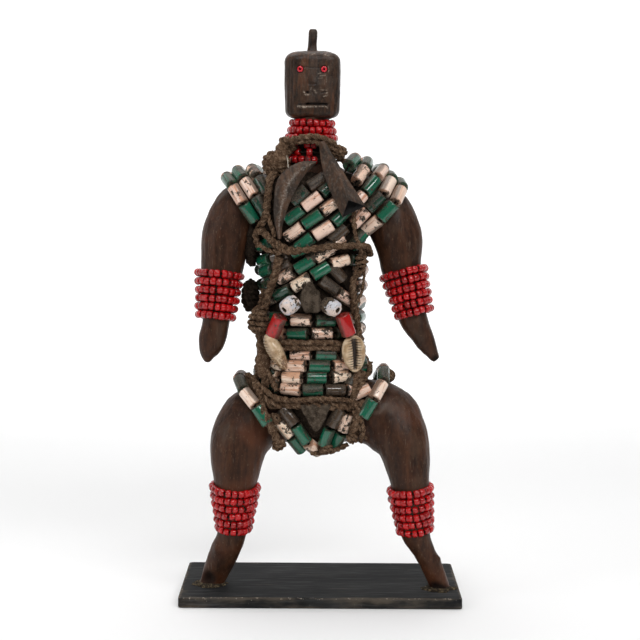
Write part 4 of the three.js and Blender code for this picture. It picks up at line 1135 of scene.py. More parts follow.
# The strands: the route, a lift over the usual one, the letters of the beads and the pixel of the first
STRANDS = {
    "right_shoulder_strand_1": ([(30, 20, 232), (46, 9, 246), (49, -2, 248), (43, -18, 235),
        (36, -20, 226), (27, -14, 218), (17, -19, 207)], 0, "GPGPg", (402, 184)),
    "right_shoulder_strand_2": ([(20, 22, 228), (36, 14, 248), (43, -2, 252), (35, -18, 238),
        (27, -19, 230), (15, -21, 217)], 0, "GPDw", (391, 177.5)),
    "right_shoulder_strand_3": ([(10, 22, 224), (24, 18, 244), (36, -2, 254), (27, -18, 241),
        (22, -20, 236), (13, -21, 228)], 2, "PGp", (379.5, 171)),
    "right_shoulder_strand_4": ([(2, 22, 230), (16, 16, 248), (26, -2, 254), (21, -17, 248),
        (14, -21, 239)], 4, "Gp", (367, 164)),
    "right_shoulder_strand_5": ([(17, 6, 254), (19, -4, 256), (14, -15, 252), (10, -20, 246)], 5, "Gw",
        (353.5, 163.5)),
    "left_shoulder_strand_1": ([(-42, 20, 232), (-55, 9, 247), (-58, -2, 250), (-48, -19, 236),
        (-42, -18, 227), (-36, -16, 218)], 1, "GPG", (229, 181)),
    "left_shoulder_strand_2": ([(-32, 22, 228), (-46, 14, 248), (-51, -2, 253), (-40, -19, 238),
        (-35, -20, 231), (-31, -20, 225)], 1, "GPD", (241, 173.5)),
    "left_shoulder_strand_3": ([(-24, 22, 236), (-36, 14, 250), (-42, -2, 253), (-34, -19, 242),
        (-30, -21, 234)], 0, "wd", (256, 170.5)),
    "chest_strand_1": ([(-21, -25, 222), (-16, -26, 226), (-5, -26, 234), (2, -24, 241), (9, -21, 248)],
        0, "GPd", (294.5, 215)),
    "chest_strand_2": ([(-20, -24, 213), (-14, -26, 217), (-7, -27, 223), (3, -26, 230),
        (11, -23, 236)], 0, "wGp", (294.5, 233)),
    "chest_strand_3": ([(-14, -25, 207), (-8, -26, 212), (0, -26, 216), (8, -24, 223), (15, -22, 229)],
        0, "gPg", (304, 243)),
    "waist_cross_strand_1": ([(-38, 2, 197), (-31, -17, 200), (-19, -25, 204), (-8, -26, 208)], 0,
        "PGB", (258, 260)),
    "waist_cross_strand_2": ([(-38, -1, 184), (-27, -18, 187), (-11, -26, 197), (-1, -26, 203),
        (7, -24, 208)], 0, "wgw", (286, 275)),
    "waist_cross_strand_3": ([(-38, -1, 173), (-29, -15, 177), (-12, -25, 187), (9, -23, 200),
        (18, -19, 200), (25, -6, 198)], 0, "dwGpD", (283, 291)),
    "waist_cross_strand_4": ([(-3, -26, 191), (3, -24, 186), (11, -21, 180), (20, -12, 174),
        (26, 2, 173)], 0, "Bw", (328, 285)),
    "waist_row_front": ([(-34, -14, 126.5), (-29, -20, 126), (-19, -25, 125.6), (-5, -28, 125.4),
        (7, -27, 125.4), (20, -22, 125), (27, -18, 125.4)], 0, "DpgBww", (272, 387)),
    "left_hip_strand": ([(-42, 18, 120), (-46, 8, 126), (-47, -4, 128), (-44, -17, 121),
        (-37, -24, 113), (-30, -25, 104)], 3.5, "gPG", (241, 383)),
    "right_hip_strand": ([(32, 18, 124), (36, 8, 130), (36, -4, 132), (35, -17, 124), (28, -24, 115),
        (23, -25, 108)], 3.5, "gPG", (382.5, 375)),
    "crotch_strand_1": ([seen(276, 417, -25), seen(284, 429, -25), seen(294, 443, -22),
        seen(303, 454, -16)], 0, "wG", (284, 429)),
    "crotch_strand_2": ([seen(278, 402, -25), seen(288, 417, -26), seen(300, 431, -24),
        seen(311, 447, -22), seen(320, 462, -17)], 0, "BGP", (288, 417)),
    "crotch_strand_3": ([seen(343, 404, -27), seen(336, 418, -27), seen(327.5, 433, -25),
        seen(321, 447, -20)], 0, "BG", (336, 418)),
    "crotch_strand_4": ([seen(352, 404, -26), seen(346, 421, -26), seen(341, 437, -23),
        seen(332, 450, -18)], 0, "wG", (345.5, 423)),
    "back_crotch_strand": ([(-24, 24, 116), (-14, 24, 104), (-3, 24, 96), (8, 24, 104), (18, 24, 116)],
        0, "GpGp", None),
}
# Strands that no node stands for; a point of two numbers is a pixel
SHORT_STRANDS = {
    "collar_strand": ([(294, 202), (300, 196), (309, 188), (318, 181), (328, 174)], 0, "DBd", (300,
        196.5)),
    "breast_strand": ([(328, 242), (338, 234), (348, 226), (356, 220)], 0, "BwP", (338, 234)),
    "rib_strand": ([(303, 262), (312, 257), (322, 251), (334, 244), (344, 238)], 0, "BwB", (316, 255)),
    "left_rib_strand_1": ([(-38, 2, 206), (-30, -17, 210), (-20, -24, 215)], 0, "G", (265, 243)),
    "left_rib_strand_2": ([(-38, 0, 190.5), (-30, -17, 194), (-19, -24, 199), (-12, -25, 202)], 0, "GB",
        (266, 267)),
    "right_cross_strand": ([(327, 262), (337, 272), (346, 282), (354, 292)], 0, "BwD", (338, 272)),
    "right_hip_end": ([(343, 397), (352, 396), (361, 392), (370, 386)], 1, "P", (360, 393)),
    "right_hip_end_2": ([(346, 388), (355, 379), (362, 371), (369, 364)], 1, "DBB", (355, 379)),
    "left_waist_end": ([(250, 374), (261, 373), (273, 371), (288, 368)], 0, "D", (268, 371.5)),
}
WAIST = {"x": -6, "wide": 30, "deep": 26}
# The rows round the waist: height, rise to the right, letters, and the pixel of the first
WAIST_ROWS = [
    (165.6, 0, "wg", (301, 320)), (157.6, 0.03, "gwd", (297, 335)), (145.9, 0, "pg", (300.5, 353.5)),
    (139.1, 0, "pgw", (296, 365)), (132.3, 0.01, "pgw", (292.5, 376.5)),
]
WAIST_PITCH = 13.8
# The rows on the back: their heights, and the turns that each passes, from the left flank to the right one
BACK_ROWS = [175, 184, 193]
BACK_TURNS = [math.radians(100 - 37.5 * k) for k in range(7)]


def string_everything():
    for name, (route, raised, beads, first) in STRANDS.items():
        strand(name, route, BEAD_LIFT + raised, beads, first)
    for name, (route, raised, beads, first) in SHORT_STRANDS.items():
        ends = [seen(*at, -22) if len(at) == 2 else at for at in route]
        strand(name, ends, BEAD_LIFT + raised, beads, first, node="none", slot="green_glass")
    for i, (height, rise, beads, first) in enumerate(WAIST_ROWS):
        route = []
        for k in range(12):
            turn = k / 12 * math.tau
            across = WAIST["wide"] * math.sin(turn)
            route.append((WAIST["x"] + across, -WAIST["deep"] * math.cos(turn), height + rise * across))
        strand("waist_row_%d" % (i + 1), route, BEAD_LIFT, beads, first, True, WAIST_PITCH)
    for i, height in enumerate(BACK_ROWS):
        route = []
        for turn in BACK_TURNS:
            across = WAIST["wide"] * math.sin(turn)
            route.append((WAIST["x"] - across, WAIST["deep"] * math.cos(turn), height))
        strand("back_row_%d" % (i + 1), route, BEAD_LIFT, "gpgpgpGG", None)


# Rows of seed beads: the band's middle at its top and its foot, and its outer radius at both
BANDS = {
    "neck_beads": ((-6.3, 0, 278.4), (-6.8, 0, 257.2), (13.9, 18.6)),
    "left_arm_beads": ((-60, -4.6, 190), (-62.2, -7.8, 166), (15, 12.6)),
    "right_arm_beads": ((48, -4.6, 191.4), (54, -7.8, 168.8), (15, 12.4)),
    "left_leg_beads": ((-50.2, -17.4, 66.2), (-51.2, -14.4, 41.8), (15.6, 11.6)),
    "right_leg_beads": ((52.5, -17.4, 65.6), (55.6, -16.2, 41.6), (14.4, 11.8)),
}
ROWS = 6
RED = (0.38, 0.0035, 0.005)


def sleeve(name, top, low, radii, side, other):
    """The dark binding under a band's rows; its near-black finish also darkens the gaps between the rows:
    painted shade.
    """
    rings = []
    for k in range(13):
        share = k / 12
        grip = 1 - 0.35 * (k in (0, 12))
        radius = (radii[0] + (radii[1] - radii[0]) * share) * grip
        rings.append(oval(top.lerp(low, share), side * radius, other * radius, 48))
    skin(name + "_binding", "fibre_cord", rings, MUD, carve=lambda p, n: n * noise.noise(p / 1.7) * 0.35)


def seed_band(name, top, low, radii):
    top, low = Vector(top), Vector(low)
    axis = (low - top).normalized()
    side = axis.orthogonal().normalized()
    other = axis.cross(side)
    spots = []
    threads = []
    for row in range(ROWS):
        share = row / (ROWS - 1)
        radius = radii[0] + (radii[1] - radii[0]) * share - SEED["radius"]
        centre = top.lerp(low, share)
        count = round(math.tau * radius / (SEED["length"] + 0.12))
        phase = dice.random()
        turns = [k / 24 * math.tau for k in range(24)]
        threads.append([centre + (side * math.cos(t) + other * math.sin(t)) * radius for t in turns])
        for k in range(count):
            turn = (k + phase + dice.uniform(-0.1, 0.1)) / count * math.tau
            out = side * math.cos(turn) + other * math.sin(turn)
            if name == "neck_beads" and row > 2 and (out.x > 0.15 or out.y > 0 or dice.random() < 0.4):
                continue
            way = -side * math.sin(turn) + other * math.cos(turn)
            spot = centre + out * (radius + dice.uniform(-0.25, 0.12)) + axis * dice.uniform(-0.22, 0.22)
            girth = dice.uniform(0.9, 1.04)
            size = (girth, girth, dice.uniform(0.84, 1.06))
            wear = 0.05 + 0.35 * (dice.random() < 0.12) + 0.25 * max(0, out.y)
            # the neck's lower rows, under the cords, are darkened: painted shade
            if name == "neck_beads" and row > 2:
                wear += 0.3
            spots.append((spot, way, size, tinted(RED, 0.3), wear))
    obj = beads_on(name + "_rows", "red_glass", spots, seed_bead, SEED_GLASS, 0.1)
    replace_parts(obj, name)
    under = [r - 2 * SEED["radius"] + 0.9 for r in radii]
    sleeve(name, top - axis * 1.5, low + axis * 1.5, under, side, other)
    for ring in threads:
        THREADS.append((np.array(ring), True))


string_everything()
for name, (top, low, radii) in BANDS.items():
    seed_band(name, top, low, radii)

# Cords that bind the beads: lift, thickness, whether it is closed, and the route
CORD_RADIUS = 2.2
CORDS = {
    "chest_cord": (9.8, 1, True, [(-35, -20, 217), (-22, -27, 208), (-13, -30, 206), (2, -30, 208),
        (15, -26, 208.6), (24, -17, 208), (30, 0, 206, 6), (20, 18, 203, 3), (-6, 25, 202, 3),
        (-31, 18, 204, 3), (-42, 0, 210, 6)]),
    "left_neck_cord": (8.6, 1.15, False, [(-20, -16, 264), (-27, -21, 254), (-30, -24, 246),
        (-31, -25, 234), (-33, -24, 222)]),
    "left_side_cord": (9.6, 1.2, False, [(-24, -27, 202), (-27, -24, 190), (-31, -20, 177),
        (-34, -15, 163), (-34, -15, 152), (-33, -19, 138), (-32, -24, 127)]),
    "right_side_cord": (10, 1, False, [(22, -21, 203), (22, -18, 196), (18, -22, 190), (17, -22, 183),
        (20, -18, 159), (20, -20, 148), (21, -22, 132)]),
    "waist_cord": (4.2, 1, True, [(-12, -28, 152), (2, -28, 152), (18, -20, 152), (26, 0, 152),
        (10, 24, 152), (-20, 24, 152), (-38, 0, 152), (-28, -18, 151)]),
    "hip_belt": (5, 1.7, True, [(-31, -26, 119), (-21, -29, 117.6), (-6, -32, 117.4), (8, -31, 117),
        (19, -29, 117), (29, -26, 119), (38, 4, 124), (22, 26, 118), (-4, 28, 115), (-26, 26, 118),
        (-44, 4, 124)]),
    "left_groin_rope": (8.6, 1.15, False, [(-36, -27, 116), (-31, -29, 107), (-24, -25, 93)]),
    "right_groin_rope": (8.6, 1.1, False, [(20, -29, 114), (20, -29, 107), (17, -27, 97)]),
}
for name, (lift, size, closed, route) in CORDS.items():
    line = lay(route, lift, closed, 0.8)
    plies = 3 if size > 1.5 else 2
    obj = cord(name + "_twist", line, CORD_RADIUS * size, closed=closed, plies=plies, turn=9 * size)
    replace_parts(obj, name)

# Lighter cords, placed as the photograph shows them: the radius, then at each point its pixel, its depth
# and its lift
LASHINGS = {
    "throat_cord": (2.2, [(287, 140.5, -8, 8.2), (290, 140, -16, 9.5), (300, 138, -19, 9.5),
        (310, 137, -19, 9.5), (320, 138, -17, 9), (331, 145, -12, 9)]),
    "throat_cord_2": (1.7, [(287, 146, -10, 8.2), (294, 143, -17, 9), (305, 141.5, -19, 9),
        (315, 142, -19, 9), (324, 147, -17, 8.5)]),
    "left_collar_cord": (2.3, [(304, 138, -18, 7.2), (292, 141, -17, 7.6), (283, 147, -15, 7.4),
        (277, 156, -15, 8), (271, 166, -20, 9)]),
    "left_collar_cord_2": (2.0, [(294, 146, -17, 7), (284, 151, -16, 8), (278, 160, -17, 9),
        (276, 170, -20, 8)]),
    "left_upright_cord": (1.6, [(276, 172, -24, 8.4), (271, 185, -24, 8.6), (270, 200, -24, 8.6),
        (268, 214, -24, 8.8), (262, 226, -24, 9)]),
    "left_upright_cord_2": (1.5, [(270, 178, -24, 8), (267, 192, -24, 8.2), (268, 206, -24, 8.4),
        (272, 222, -24, 9), (279, 236, -24, 10)]),
    "left_loop_cord": (1.6, [(271, 214, -24, 9), (262, 222, -22, 9), (256, 232, -18, 9),
        (259, 243, -20, 9.4), (270, 250, -24, 10), (283, 250, -26, 10.4)]),
    "left_diagonal_cord": (1.9, [(262, 228, -22, 8.4), (271, 238, -24, 10), (281, 247, -26, 10.6),
        (292, 252, -28, 10.6), (300, 250, -28, 10.4)]),
    "left_drop_cord": (1.6, [(282, 249, -26, 10.4), (276, 262, -25, 9.4), (274, 278, -24, 9.2),
        (270, 294, -22, 9), (264, 308, -20, 8.6), (258, 322, -18, 8.4)]),
    "left_flank_cord": (1.9, [(262, 290, -18, 8.4), (257, 302, -16, 8.4), (256, 316, -16, 8.4),
        (260, 330, -18, 8.6), (268, 342, -22, 8.6)]),
    "right_collar_cord": (2.1, [(322, 139, -18, 7.4), (331, 147, -16, 8), (340, 153, -16, 8.4),
        (348, 162, -18, 9)]),
    "right_upright_cord": (1.5, [(352, 208, -24, 8.6), (352, 222, -24, 9), (354, 236, -24, 10),
        (359, 248, -22, 10), (363, 260, -20, 9.6)]),
    "right_drop_cord": (1.4, [(359, 262, -20, 9.4), (354, 275, -22, 9.4), (352, 292, -22, 9.4),
        (354, 308, -22, 9), (357, 322, -20, 9), (360, 338, -18, 9)]),
    "right_slack_cord": (1.1, [(363, 262, -18, 9), (366, 276, -16, 9), (364, 290, -16, 9),
        (358, 304, -20, 9.2), (356, 320, -20, 9.6)]),
    "lower_waist_cord": (1.9, [(281, 348.5, -26, 7.6), (295, 348, -28, 7.4), (312, 348, -29, 7.2),
        (328, 348, -29, 7.2), (343, 349, -28, 7.6)]),
    "upper_waist_cord": (2.0, [(277, 343, -26, 8.2), (290, 342.5, -28, 8), (305, 343, -29, 7.8),
        (320, 343, -29, 7.8), (334, 343, -28, 8), (345, 346, -26, 8.4)]),
    "left_net_cord_1": (1.9, [(258, 334, -18, 8.6), (255, 350, -18, 9), (260, 364, -22, 9),
        (268, 378, -26, 9), (276, 391, -28, 9.4)]),
    "left_net_cord_2": (1.9, [(270, 344, -24, 8.8), (260, 354, -20, 9.6), (251, 368, -18, 9),
        (254, 382, -22, 8.6), (262, 396, -26, 8.8)]),
    "left_net_cord_3": (1.6, [(247, 372, -12, 8.6), (258, 384, -22, 8.8), (268, 392, -26, 9),
        (278, 402, -28, 9)]),
    "right_net_cord_1": (1.6, [(365, 342, -16, 9), (364, 356, -18, 9), (359, 370, -22, 9),
        (354, 386, -26, 9.4), (351, 402, -28, 9.4)]),
    "right_net_cord_2": (1.6, [(371, 362, -10, 9), (368, 376, -16, 9), (360, 388, -22, 9),
        (353, 398, -26, 9.4)]),
    "right_groin_net_1": (1.6, [(353, 402, -28, 8.6), (360, 414, -28, 8.6), (364, 428, -26, 8),
        (360, 440, -24, 7.6)]),
    "right_groin_net_2": (1.5, [(366, 404, -26, 7.6), (360, 416, -28, 9), (353, 428, -28, 9),
        (350, 440, -26, 8.4)]),
    "right_groin_net_3": (1.3, [(354, 420, -28, 8.6), (362, 430, -26, 7.8), (371, 436, -22, 6.6)]),
    "left_groin_cord": (1.7, [(258, 392, -26, 8.4), (264, 408, -28, 8.6), (269, 422, -28, 8.6),
        (274, 434, -26, 8), (279, 443, -22, 7.6)]),
    "belt_cord_upper": (1.7, [(262, 388, -26, 8.8), (276, 398, -28, 9.6), (296, 400, -30, 9.8),
        (318, 398, -30, 9.8), (338, 399, -28, 9.8), (354, 402, -26, 9.2)]),
    "crotch_cord": (1.7, [(312, 446, -20, 7), (320, 449, -20, 7), (330, 446, -20, 7.4),
        (338, 447, -22, 7.6), (348, 444, -24, 7.6)]),
}
for name, (radius, route) in LASHINGS.items():
    line = lay([seen(*point) for point in route], 8, False, 0.9)
    cord(name, line, radius, turn=3.4 * radius + 1.6, groove=0.34, crust=0.8)
route = [(286.4, 156, -22), (287.6, 160, -25), (288, 165, -27.5), (288.6, 170, -29), (287.6, 172, -28)]
line = evenly(spline([seen(*point) for point in route], 8), 0.6)
cord("white_thread", line, 0.42, THREAD, turn=2, crust=0.15, sides=8)

# A cord wound on itself into a knot: middle, half sizes, the cord's radius and how many times round
KNOTS = {
    "neck_knot": ((-26.6, -18, 255.2), (6.6, 5.6, 6.4), 2.0, 6),
    "side_bundle": ((-42, -3, 177.5), (3.4, 3.8, 8.2), 2.3, 7),
    "right_side_knot": (seen(361.5, 261, -24), (2.8, 2.4, 3), 1.5, 3),
    "right_collar_knot": (seen(339, 152, -19), (3.6, 3.2, 3.2), 1.4, 4),
    "left_groin_knot": (seen(279, 445, -26), (3.2, 2.8, 2.4), 1.5, 3),
    "right_groin_knot": (seen(352, 438, -29), (2.6, 2.4, 2.4), 1.4, 3),
    "left_flank_knot": (seen(258, 322, -23), (5.2, 3.4, 6), 1.7, 5),
    "crotch_knot": (seen(326, 449, -24), (3.4, 2.6, 2), 1.4, 3),
}


def wind(name, middle, half, radius, turns):
    """A ball or bundle of cord, wound from one end to the other and back a little."""
    line = []
    lean = Matrix.Rotation(dice.uniform(-0.5, 0.5), 3, "Y")
    steps = turns * 22
    for k in range(steps + 1):
        share = k / steps
        rise = math.pi * (0.08 + 0.84 * share)
        turn = share * turns * math.tau
        way = Vector((math.cos(turn) * math.sin(rise), math.sin(turn) * math.sin(rise), math.cos(rise)))
        wander = 1 + 0.12 * noise.noise(way * 1.7 + Vector(middle))
        spot = Vector((way.x * half[0], way.y * half[1], way.z * half[2])) * wander
        line.append(Vector(middle) + (lean @ spot if max(half) < 8 else spot))
    finish = MUD if name == "side_bundle" else CORD
    return cord(name + "_windings", evenly(np.array(line), 0.9), radius, finish, turn=6, crust=0.8)


for name, knot in KNOTS.items():
    windings = wind(name, *knot)
    if name in frame["nodes"]:
        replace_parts(windings, name)

# Clots of felted fibre and mud: middle and half sizes
FELT = {
    "armpit_felt": (seen(251.5, 250, -5), (4.4, 8, 9.5)),
    "armpit_felt_2": (seen(254.5, 236, -9), (5.2, 7, 9)),
    "neck_felt": (seen(277, 161, -21), (5.6, 4.6, 6.2)),
    "collar_felt": (seen(282, 150, -15), (3.4, 4, 4.6)),
    "flank_felt": (seen(259, 318, -18), (4.4, 4, 7)),
    "hip_felt": (seen(262, 362, -21), (4.2, 3.6, 9)),
    "hip_felt_2": (seen(358, 378, -21), (4.4, 3.6, 6.4)),
    "groin_felt": (seen(276, 424, -23.5), (3.8, 3.4, 7)),
    "groin_felt_2": (seen(354, 424, -24), (4.6, 3.2, 7.6)),
    "crotch_felt": (seen(326, 446, -19), (6, 3.6, 2.6)),
}


def no_run(rings):
    """Zero for each point of a skin over the rings, its two tips too: felt and glue have no run of fibre."""
    return [0.0] * (sum(len(ring) for ring in rings) + 2)


def clot_of_felt(name, middle, half):
    rings = []
    for i in range(1, 30):
        polar = math.pi * i / 30
        girth = math.sin(polar)
        ring = oval((0, 0, math.cos(polar) * half[2]), (half[0] * girth, 0, 0), (0, half[1] * girth, 0), 44)
        rings.append([p + Vector(middle) for p in ring])
    # the armpit clots take the near-black muddy finish: painted shade
    finish = MUD if name.startswith("armpit") else CORD
    fluff = rough((3.6, 1.6), (1.5, 0.9), (0.7, 0.35))
    skin(name, "fibre_cord", rings, finish, {"run": no_run(rings)}, fluff)


for name, shape in FELT.items():
    clot_of_felt(name, *shape)

# The threads that the beads hang on, and the muddy binding under them


def thread_piece():
    points, edges = [], []
    for line, closed in THREADS:
        line = line[:: 2 if len(line) > 30 else 1]
        start = len(points)
        points += [Vector(p) * MM for p in line]
        edges += [(start + k, start + k + 1) for k in range(len(line) - 1)]
        if closed:
            edges.append((len(points) - 1, start))
    mesh = bpy.data.meshes.new("bead_threads")
    mesh.from_pydata(points, edges, [])
    obj = place(bpy.data.objects.new("bead_threads", mesh), "fibre_cord")
    values = {"Radius": 0.85 * MM, "Turn": 4 * MM, "Crust": 0.25 * MM, "Sides": 6, "Finish": MUD}
    grown(obj, TWISTING, values)


thread_piece()


def muddy_binding():
    slices = [row for row in spline(TRUNK, 14) if 96 < row[0] < 250]
    rings = []
    for z, x, wide, deep in slices:
        rise = 1.6 * math.sqrt(min(1, (250 - z) / 6, (z - 95) / 6))
        rings.append(oval((x, 0, z), (wide + rise, 0, 0), (0, deep + rise, 0), 150))

    def clot(p, normal):
        slow = noise.noise(p / 4.5) * 0.9
        quick = noise.noise(p / 1.3) * 0.45
        ribs = 0.5 * noise.noise(Vector((p.x / 9, p.y / 9, p.z / 1.1)))
        return normal * (slow + quick + ribs)

    skin("muddy_binding", "fibre_cord", rings, MUD, carve=clot)


muddy_binding()

# Iron


def eased_ring(corners, ease, steps=5):
    """A ring round some corners, each rounded, and how near each point is to a corner's tip."""
    ring, near = [], []
    for k, corner in enumerate(corners):
        before, after = corners[k - 1], corners[(k + 1) % len(corners)]
        start, end = corner.lerp(before, ease), corner.lerp(after, ease)
        for j in range(steps):
            t = j / (steps - 1)
            ring.append(start.lerp(corner, t).lerp(corner.lerp(end, t), t))
            near.append(1 - abs(2 * t - 1))
        for j in (1, 2, 3):
            ring.append(end.lerp(after.lerp(corner, ease), j / 4))
            near.append(0.0)
    return ring, near


# The bell's three edges, from its tip to its mouth: the ridge in front, the right one and the left one,
# and how far in from each edge, towards the middle, the inside's edge lies
BELL_INSET = 0.84
BELL = (
    [seen(321, 141.5, -23.5), seen(338, 174, -33), seen(347.9, 199.3, -38.5)],
    [seen(324.6, 141, -20.5), seen(345.4, 174.6, -28), seen(366, 205.9, -31)],
    [seen(318.2, 141.8, -20.5), seen(323.8, 176, -28), seen(341.8, 217.8, -31)],
)


def folded_bell():
    lines = [spline(edge_line, 10) for edge_line in BELL]
    count = len(lines[0])
    rings, edge = [], []

    def add(corners, ease, inside):
        ring, near = eased_ring(corners, ease)
        rings.append(ring)
        # inside rings get -1, for painted shade in the bell's hollow; outside, the corners get up to 0.55,
        # for rubbed edges with painted highlight
        edge.extend(-1.0 if inside else n * 0.55 for n in near)

    for k in range(count):
        add([Vector(line[k]) for line in lines], 0.06, False)
    for k in reversed(range(6, count)):
        corners = [Vector(line[k]) for line in lines]
        middle = sum(corners, Vector()) / 3
        inner = [c.lerp(middle, min(0.6, BELL_INSET / (middle - c).length)) for c in corners]
        add(inner, 0.06, True)
    stored = {"edge": edge + [0.0, 0.0]}
    skin("folded_bell_sheet", "iron", rings, IRON, stored, rough((5, 0.25), (1.4, 0.08)), "folded_iron_bell")


# The crescent, along its middle line: the point and half its width
CRESCENT = [
    (-4, -25, 256, 0.9), (-13, -28, 251.6, 4.6), (-19.6, -30, 244.4, 6.6),
    (-22.8, -31, 234.7, 5.2), (-24.7, -30.5, 223.4, 3.1), (-24.4, -30, 212.4, 1.2),
]


def crescent():
    spine = spline(CRESCENT, 9)
    rings, edge = [], []
    for k, (x, y, z, half) in enumerate(spine):
        way = Vector(spine[min(k + 1, len(spine) - 1)][:3] - spine[max(k - 1, 0)][:3]).normalized()
        out = (Vector((0, -1, 0)) + way * way.y).normalized()
        across = way.cross(out)
        middle = Vector((x, y, z))
        ridge = middle + out * 2.4 - across * half * 0.1
        corners = [middle + across * half, ridge, middle - across * half, middle - out * 1.2]
        ease = 0.14 + 0.12 * (k / len(spine))
        ring, _ = eased_ring(corners, ease)
        rings.append(ring)
        # a broad band down the front of the ridge is stored for bright worn metal with painted highlight
        for p in ring:
            off = abs((p - middle).dot(across) / half + 0.1)
            edge.append(max(0, 1 - off / 0.8) if (p - middle).dot(out) > 0 else 0.0)
    stored = {"edge": edge + [0.0, 0.0]}
    skin("crescent_sheet", "iron", rings, IRON, stored, rough((6, 0.35), (1.5, 0.1)), "iron_crescent")


folded_bell()
crescent()

# Glass pendants and eyes


def laid_between(start, end, profile, sides):
    """A turned shape laid from one point to the other."""
    a, b = Vector(start), Vector(end)
    points, faces = turned(profile, sides)
    turn = (b - a).to_track_quat("Z", "Y")
    return [turn @ p + (a + b) / 2 for p in points], faces, points


def white_bead(name, start, end, crust, crusted_end):
    half = (Vector(end) - Vector(start)).length / 2
    profile = [(1.5, half - 0.9), (1.9, half - 0.1), (2.6, half)]
    steps = [k / 6 for k in range(6, -7, -1)]
    profile += [(3.7 + 1.2 * math.sqrt(max(0, 1 - at**2)), at * (half - 0.5)) for at in steps]
    profile += [(2.6, -half), (1.9, -half + 0.1), (1.5, -half + 0.9)]
    points, faces, flat = laid_between(start, end, profile, 28)
    dirt_and_shade = [min(1.0, max(0.0, crust + crusted_end * p.z / half)) for p in flat]
    # the hole is darkened: painted shade
    dirt_and_shade = [1.5 if p.xy.length < 1.7 else share for p, share in zip(flat, dirt_and_shade)]
    bead = piece(name + "_glass", "white_glass", points, faces, WHITE_GLASS, {"edge": dirt_and_shade})
    reshape(bead, rough((2.6, 0.35), (0.9, 0.12)))
    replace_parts(bead, name)


white_bead("white_bead_left", seen(283.8, 310, -35.5), seen(296, 300.5, -29), 0.32, 0.3)
white_bead("white_bead_right", seen(323.8, 303, -29), seen(338.2, 310.5, -35.5), 0.56, -0.7)
for name, start, end, wear in (
    ("red_tube_left", (-23.6, -31.5, 168.4), (-28.4, -27.5, 157), 0.2),
    ("red_tube_right", (11.6, -30.5, 169.4), (15.8, -28, 157.6), -0.3),
):
    a, b = Vector(start), Vector(end)
    size = (1.14, 1.14, (b - a).length / 12.04)
    spots = [((a + b) / 2, b - a, size, (0.44, 0.0004, 0.002), wear)]
    tube = beads_on(name + "_glass", "red_glass", spots, tube_bead, TUBE_GLASS, 0.0)
    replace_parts(tube, name)
for name, x in zip(("eye_bead_left", "eye_bead_right"), EYES):
    spots = [(Vector((x, -13.1, EYE_HEIGHT)), Vector((0, -1, 0)), (1, 1, 1), (0.6, 0.02, 0.035), 0.0)]
    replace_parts(beads_on(name + "_glass", "red_glass", spots, eye_bead, SEED_GLASS, 0.0), name)

# Shells
COWRIE = {"length": 21.5, "width": 14.3, "thick": 8.4}


def cowrie(name, centre, turn, size, side):
    rows, columns = 84, 104
    points, slit_shade = [], []
    for i in range(1, rows):
        polar = math.pi * i / rows
        up = math.cos(polar)
        plump = math.sin(polar) * (0.98 + 0.14 * up)
        for j in range(columns):
            angle = math.tau * j / columns
            x = plump * math.cos(angle) * COWRIE["width"] / 2
            y = plump * math.sin(angle) * COWRIE["thick"] / 2
            z = up * COWRIE["length"] / 2
            dark = 0.0
            if y < 0:
                y *= 0.86
                off = x - 0.35 * math.sin(z / 6) + 0.2
                reach = max(0.0, 1 - (z / 9.9) ** 6)
                gap = 1.35 + 0.05 * z
                slit = math.exp(-((off / max(0.35, gap)) ** 4)) * reach
                lip = math.exp(-(((abs(off) - 2.2) / 1.3) ** 2)) * reach
                comb = max(0.0, 1 - abs(abs(off) - 1.9) / 2.9) * reach
                ridge = math.cos(z / 1.5 * math.tau + abs(off) * 0.6)
                y += 2.3 * slit - 0.5 * lip - 0.2 * ridge * comb
                # the slit and the grooves between the teeth are darkened: painted shade
                dark = min(1.0, slit * 1.15 + max(0.0, -ridge - 0.15) * comb * 1.7)
            points.append(Vector((x, y, z)))
            slit_shade.append(dark)
    faces = []
    for i in range(rows - 2):
        a, b = i * columns, (i + 1) * columns
        faces += [(a + j, b + j, b + (j + 1) % columns, a + (j + 1) % columns) for j in range(columns)]
    for start, z in ((0, 1), ((rows - 2) * columns, -1)):
        points.append(Vector((0, 0, z * COWRIE["length"] / 2)))
        slit_shade.append(0.3)
        tip = len(points) - 1
        faces += [(start + j, start + (j + 1) % columns, tip)[::z] for j in range(columns)]
    about = [Matrix.Rotation(angle, 3, axis) for angle, axis in zip(turn, "XYZ")]
    rotation = about[0] @ about[1] @ about[2]
    flecked = [side * min(1.0, max(0.0, 0.45 - p.z / 10)) for p in points]
    points = [rotation @ (p * size) + Vector(centre) for p in points]
    stored = {"edge": slit_shade, "side": flecked}
    shell = piece(name + "_shell", "shell", points, outward(points, faces), SHELL, stored)
    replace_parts(shell, name)


cowrie("cowrie_left", (-26.3, -27, 147.2), (0, -0.51, -1.4), 1.1, 1.0)
cowrie("cowrie_right", (18.6, -27, 146.6), (0, -0.1, 0.3), 1.0, 0.15)

# Stiff hide


def hide_pad(name, corners, back, thick):
    """A pad of hide: its outline in front, and how thick it is towards the back."""
    rings = []
    middle = sum(corners, Vector()) / len(corners)
    for inset, depth in ((0.12, 0), (0.0, 0.25), (0.0, 0.75), (0.12, 1)):
        ring, _ = eased_ring([c.lerp(middle, inset) for c in corners], 0.22)
        rings.append([p + Vector(back) * thick * depth for p in ring])
    pad = skin(name + "_hide", "hide", rings, HIDE)
    one_skin(pad, 0.5, 2)
    reshape(pad, rough((5, 0.5), (1.2, 0.4), (0.6, 0.2)))
    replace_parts(pad, name)


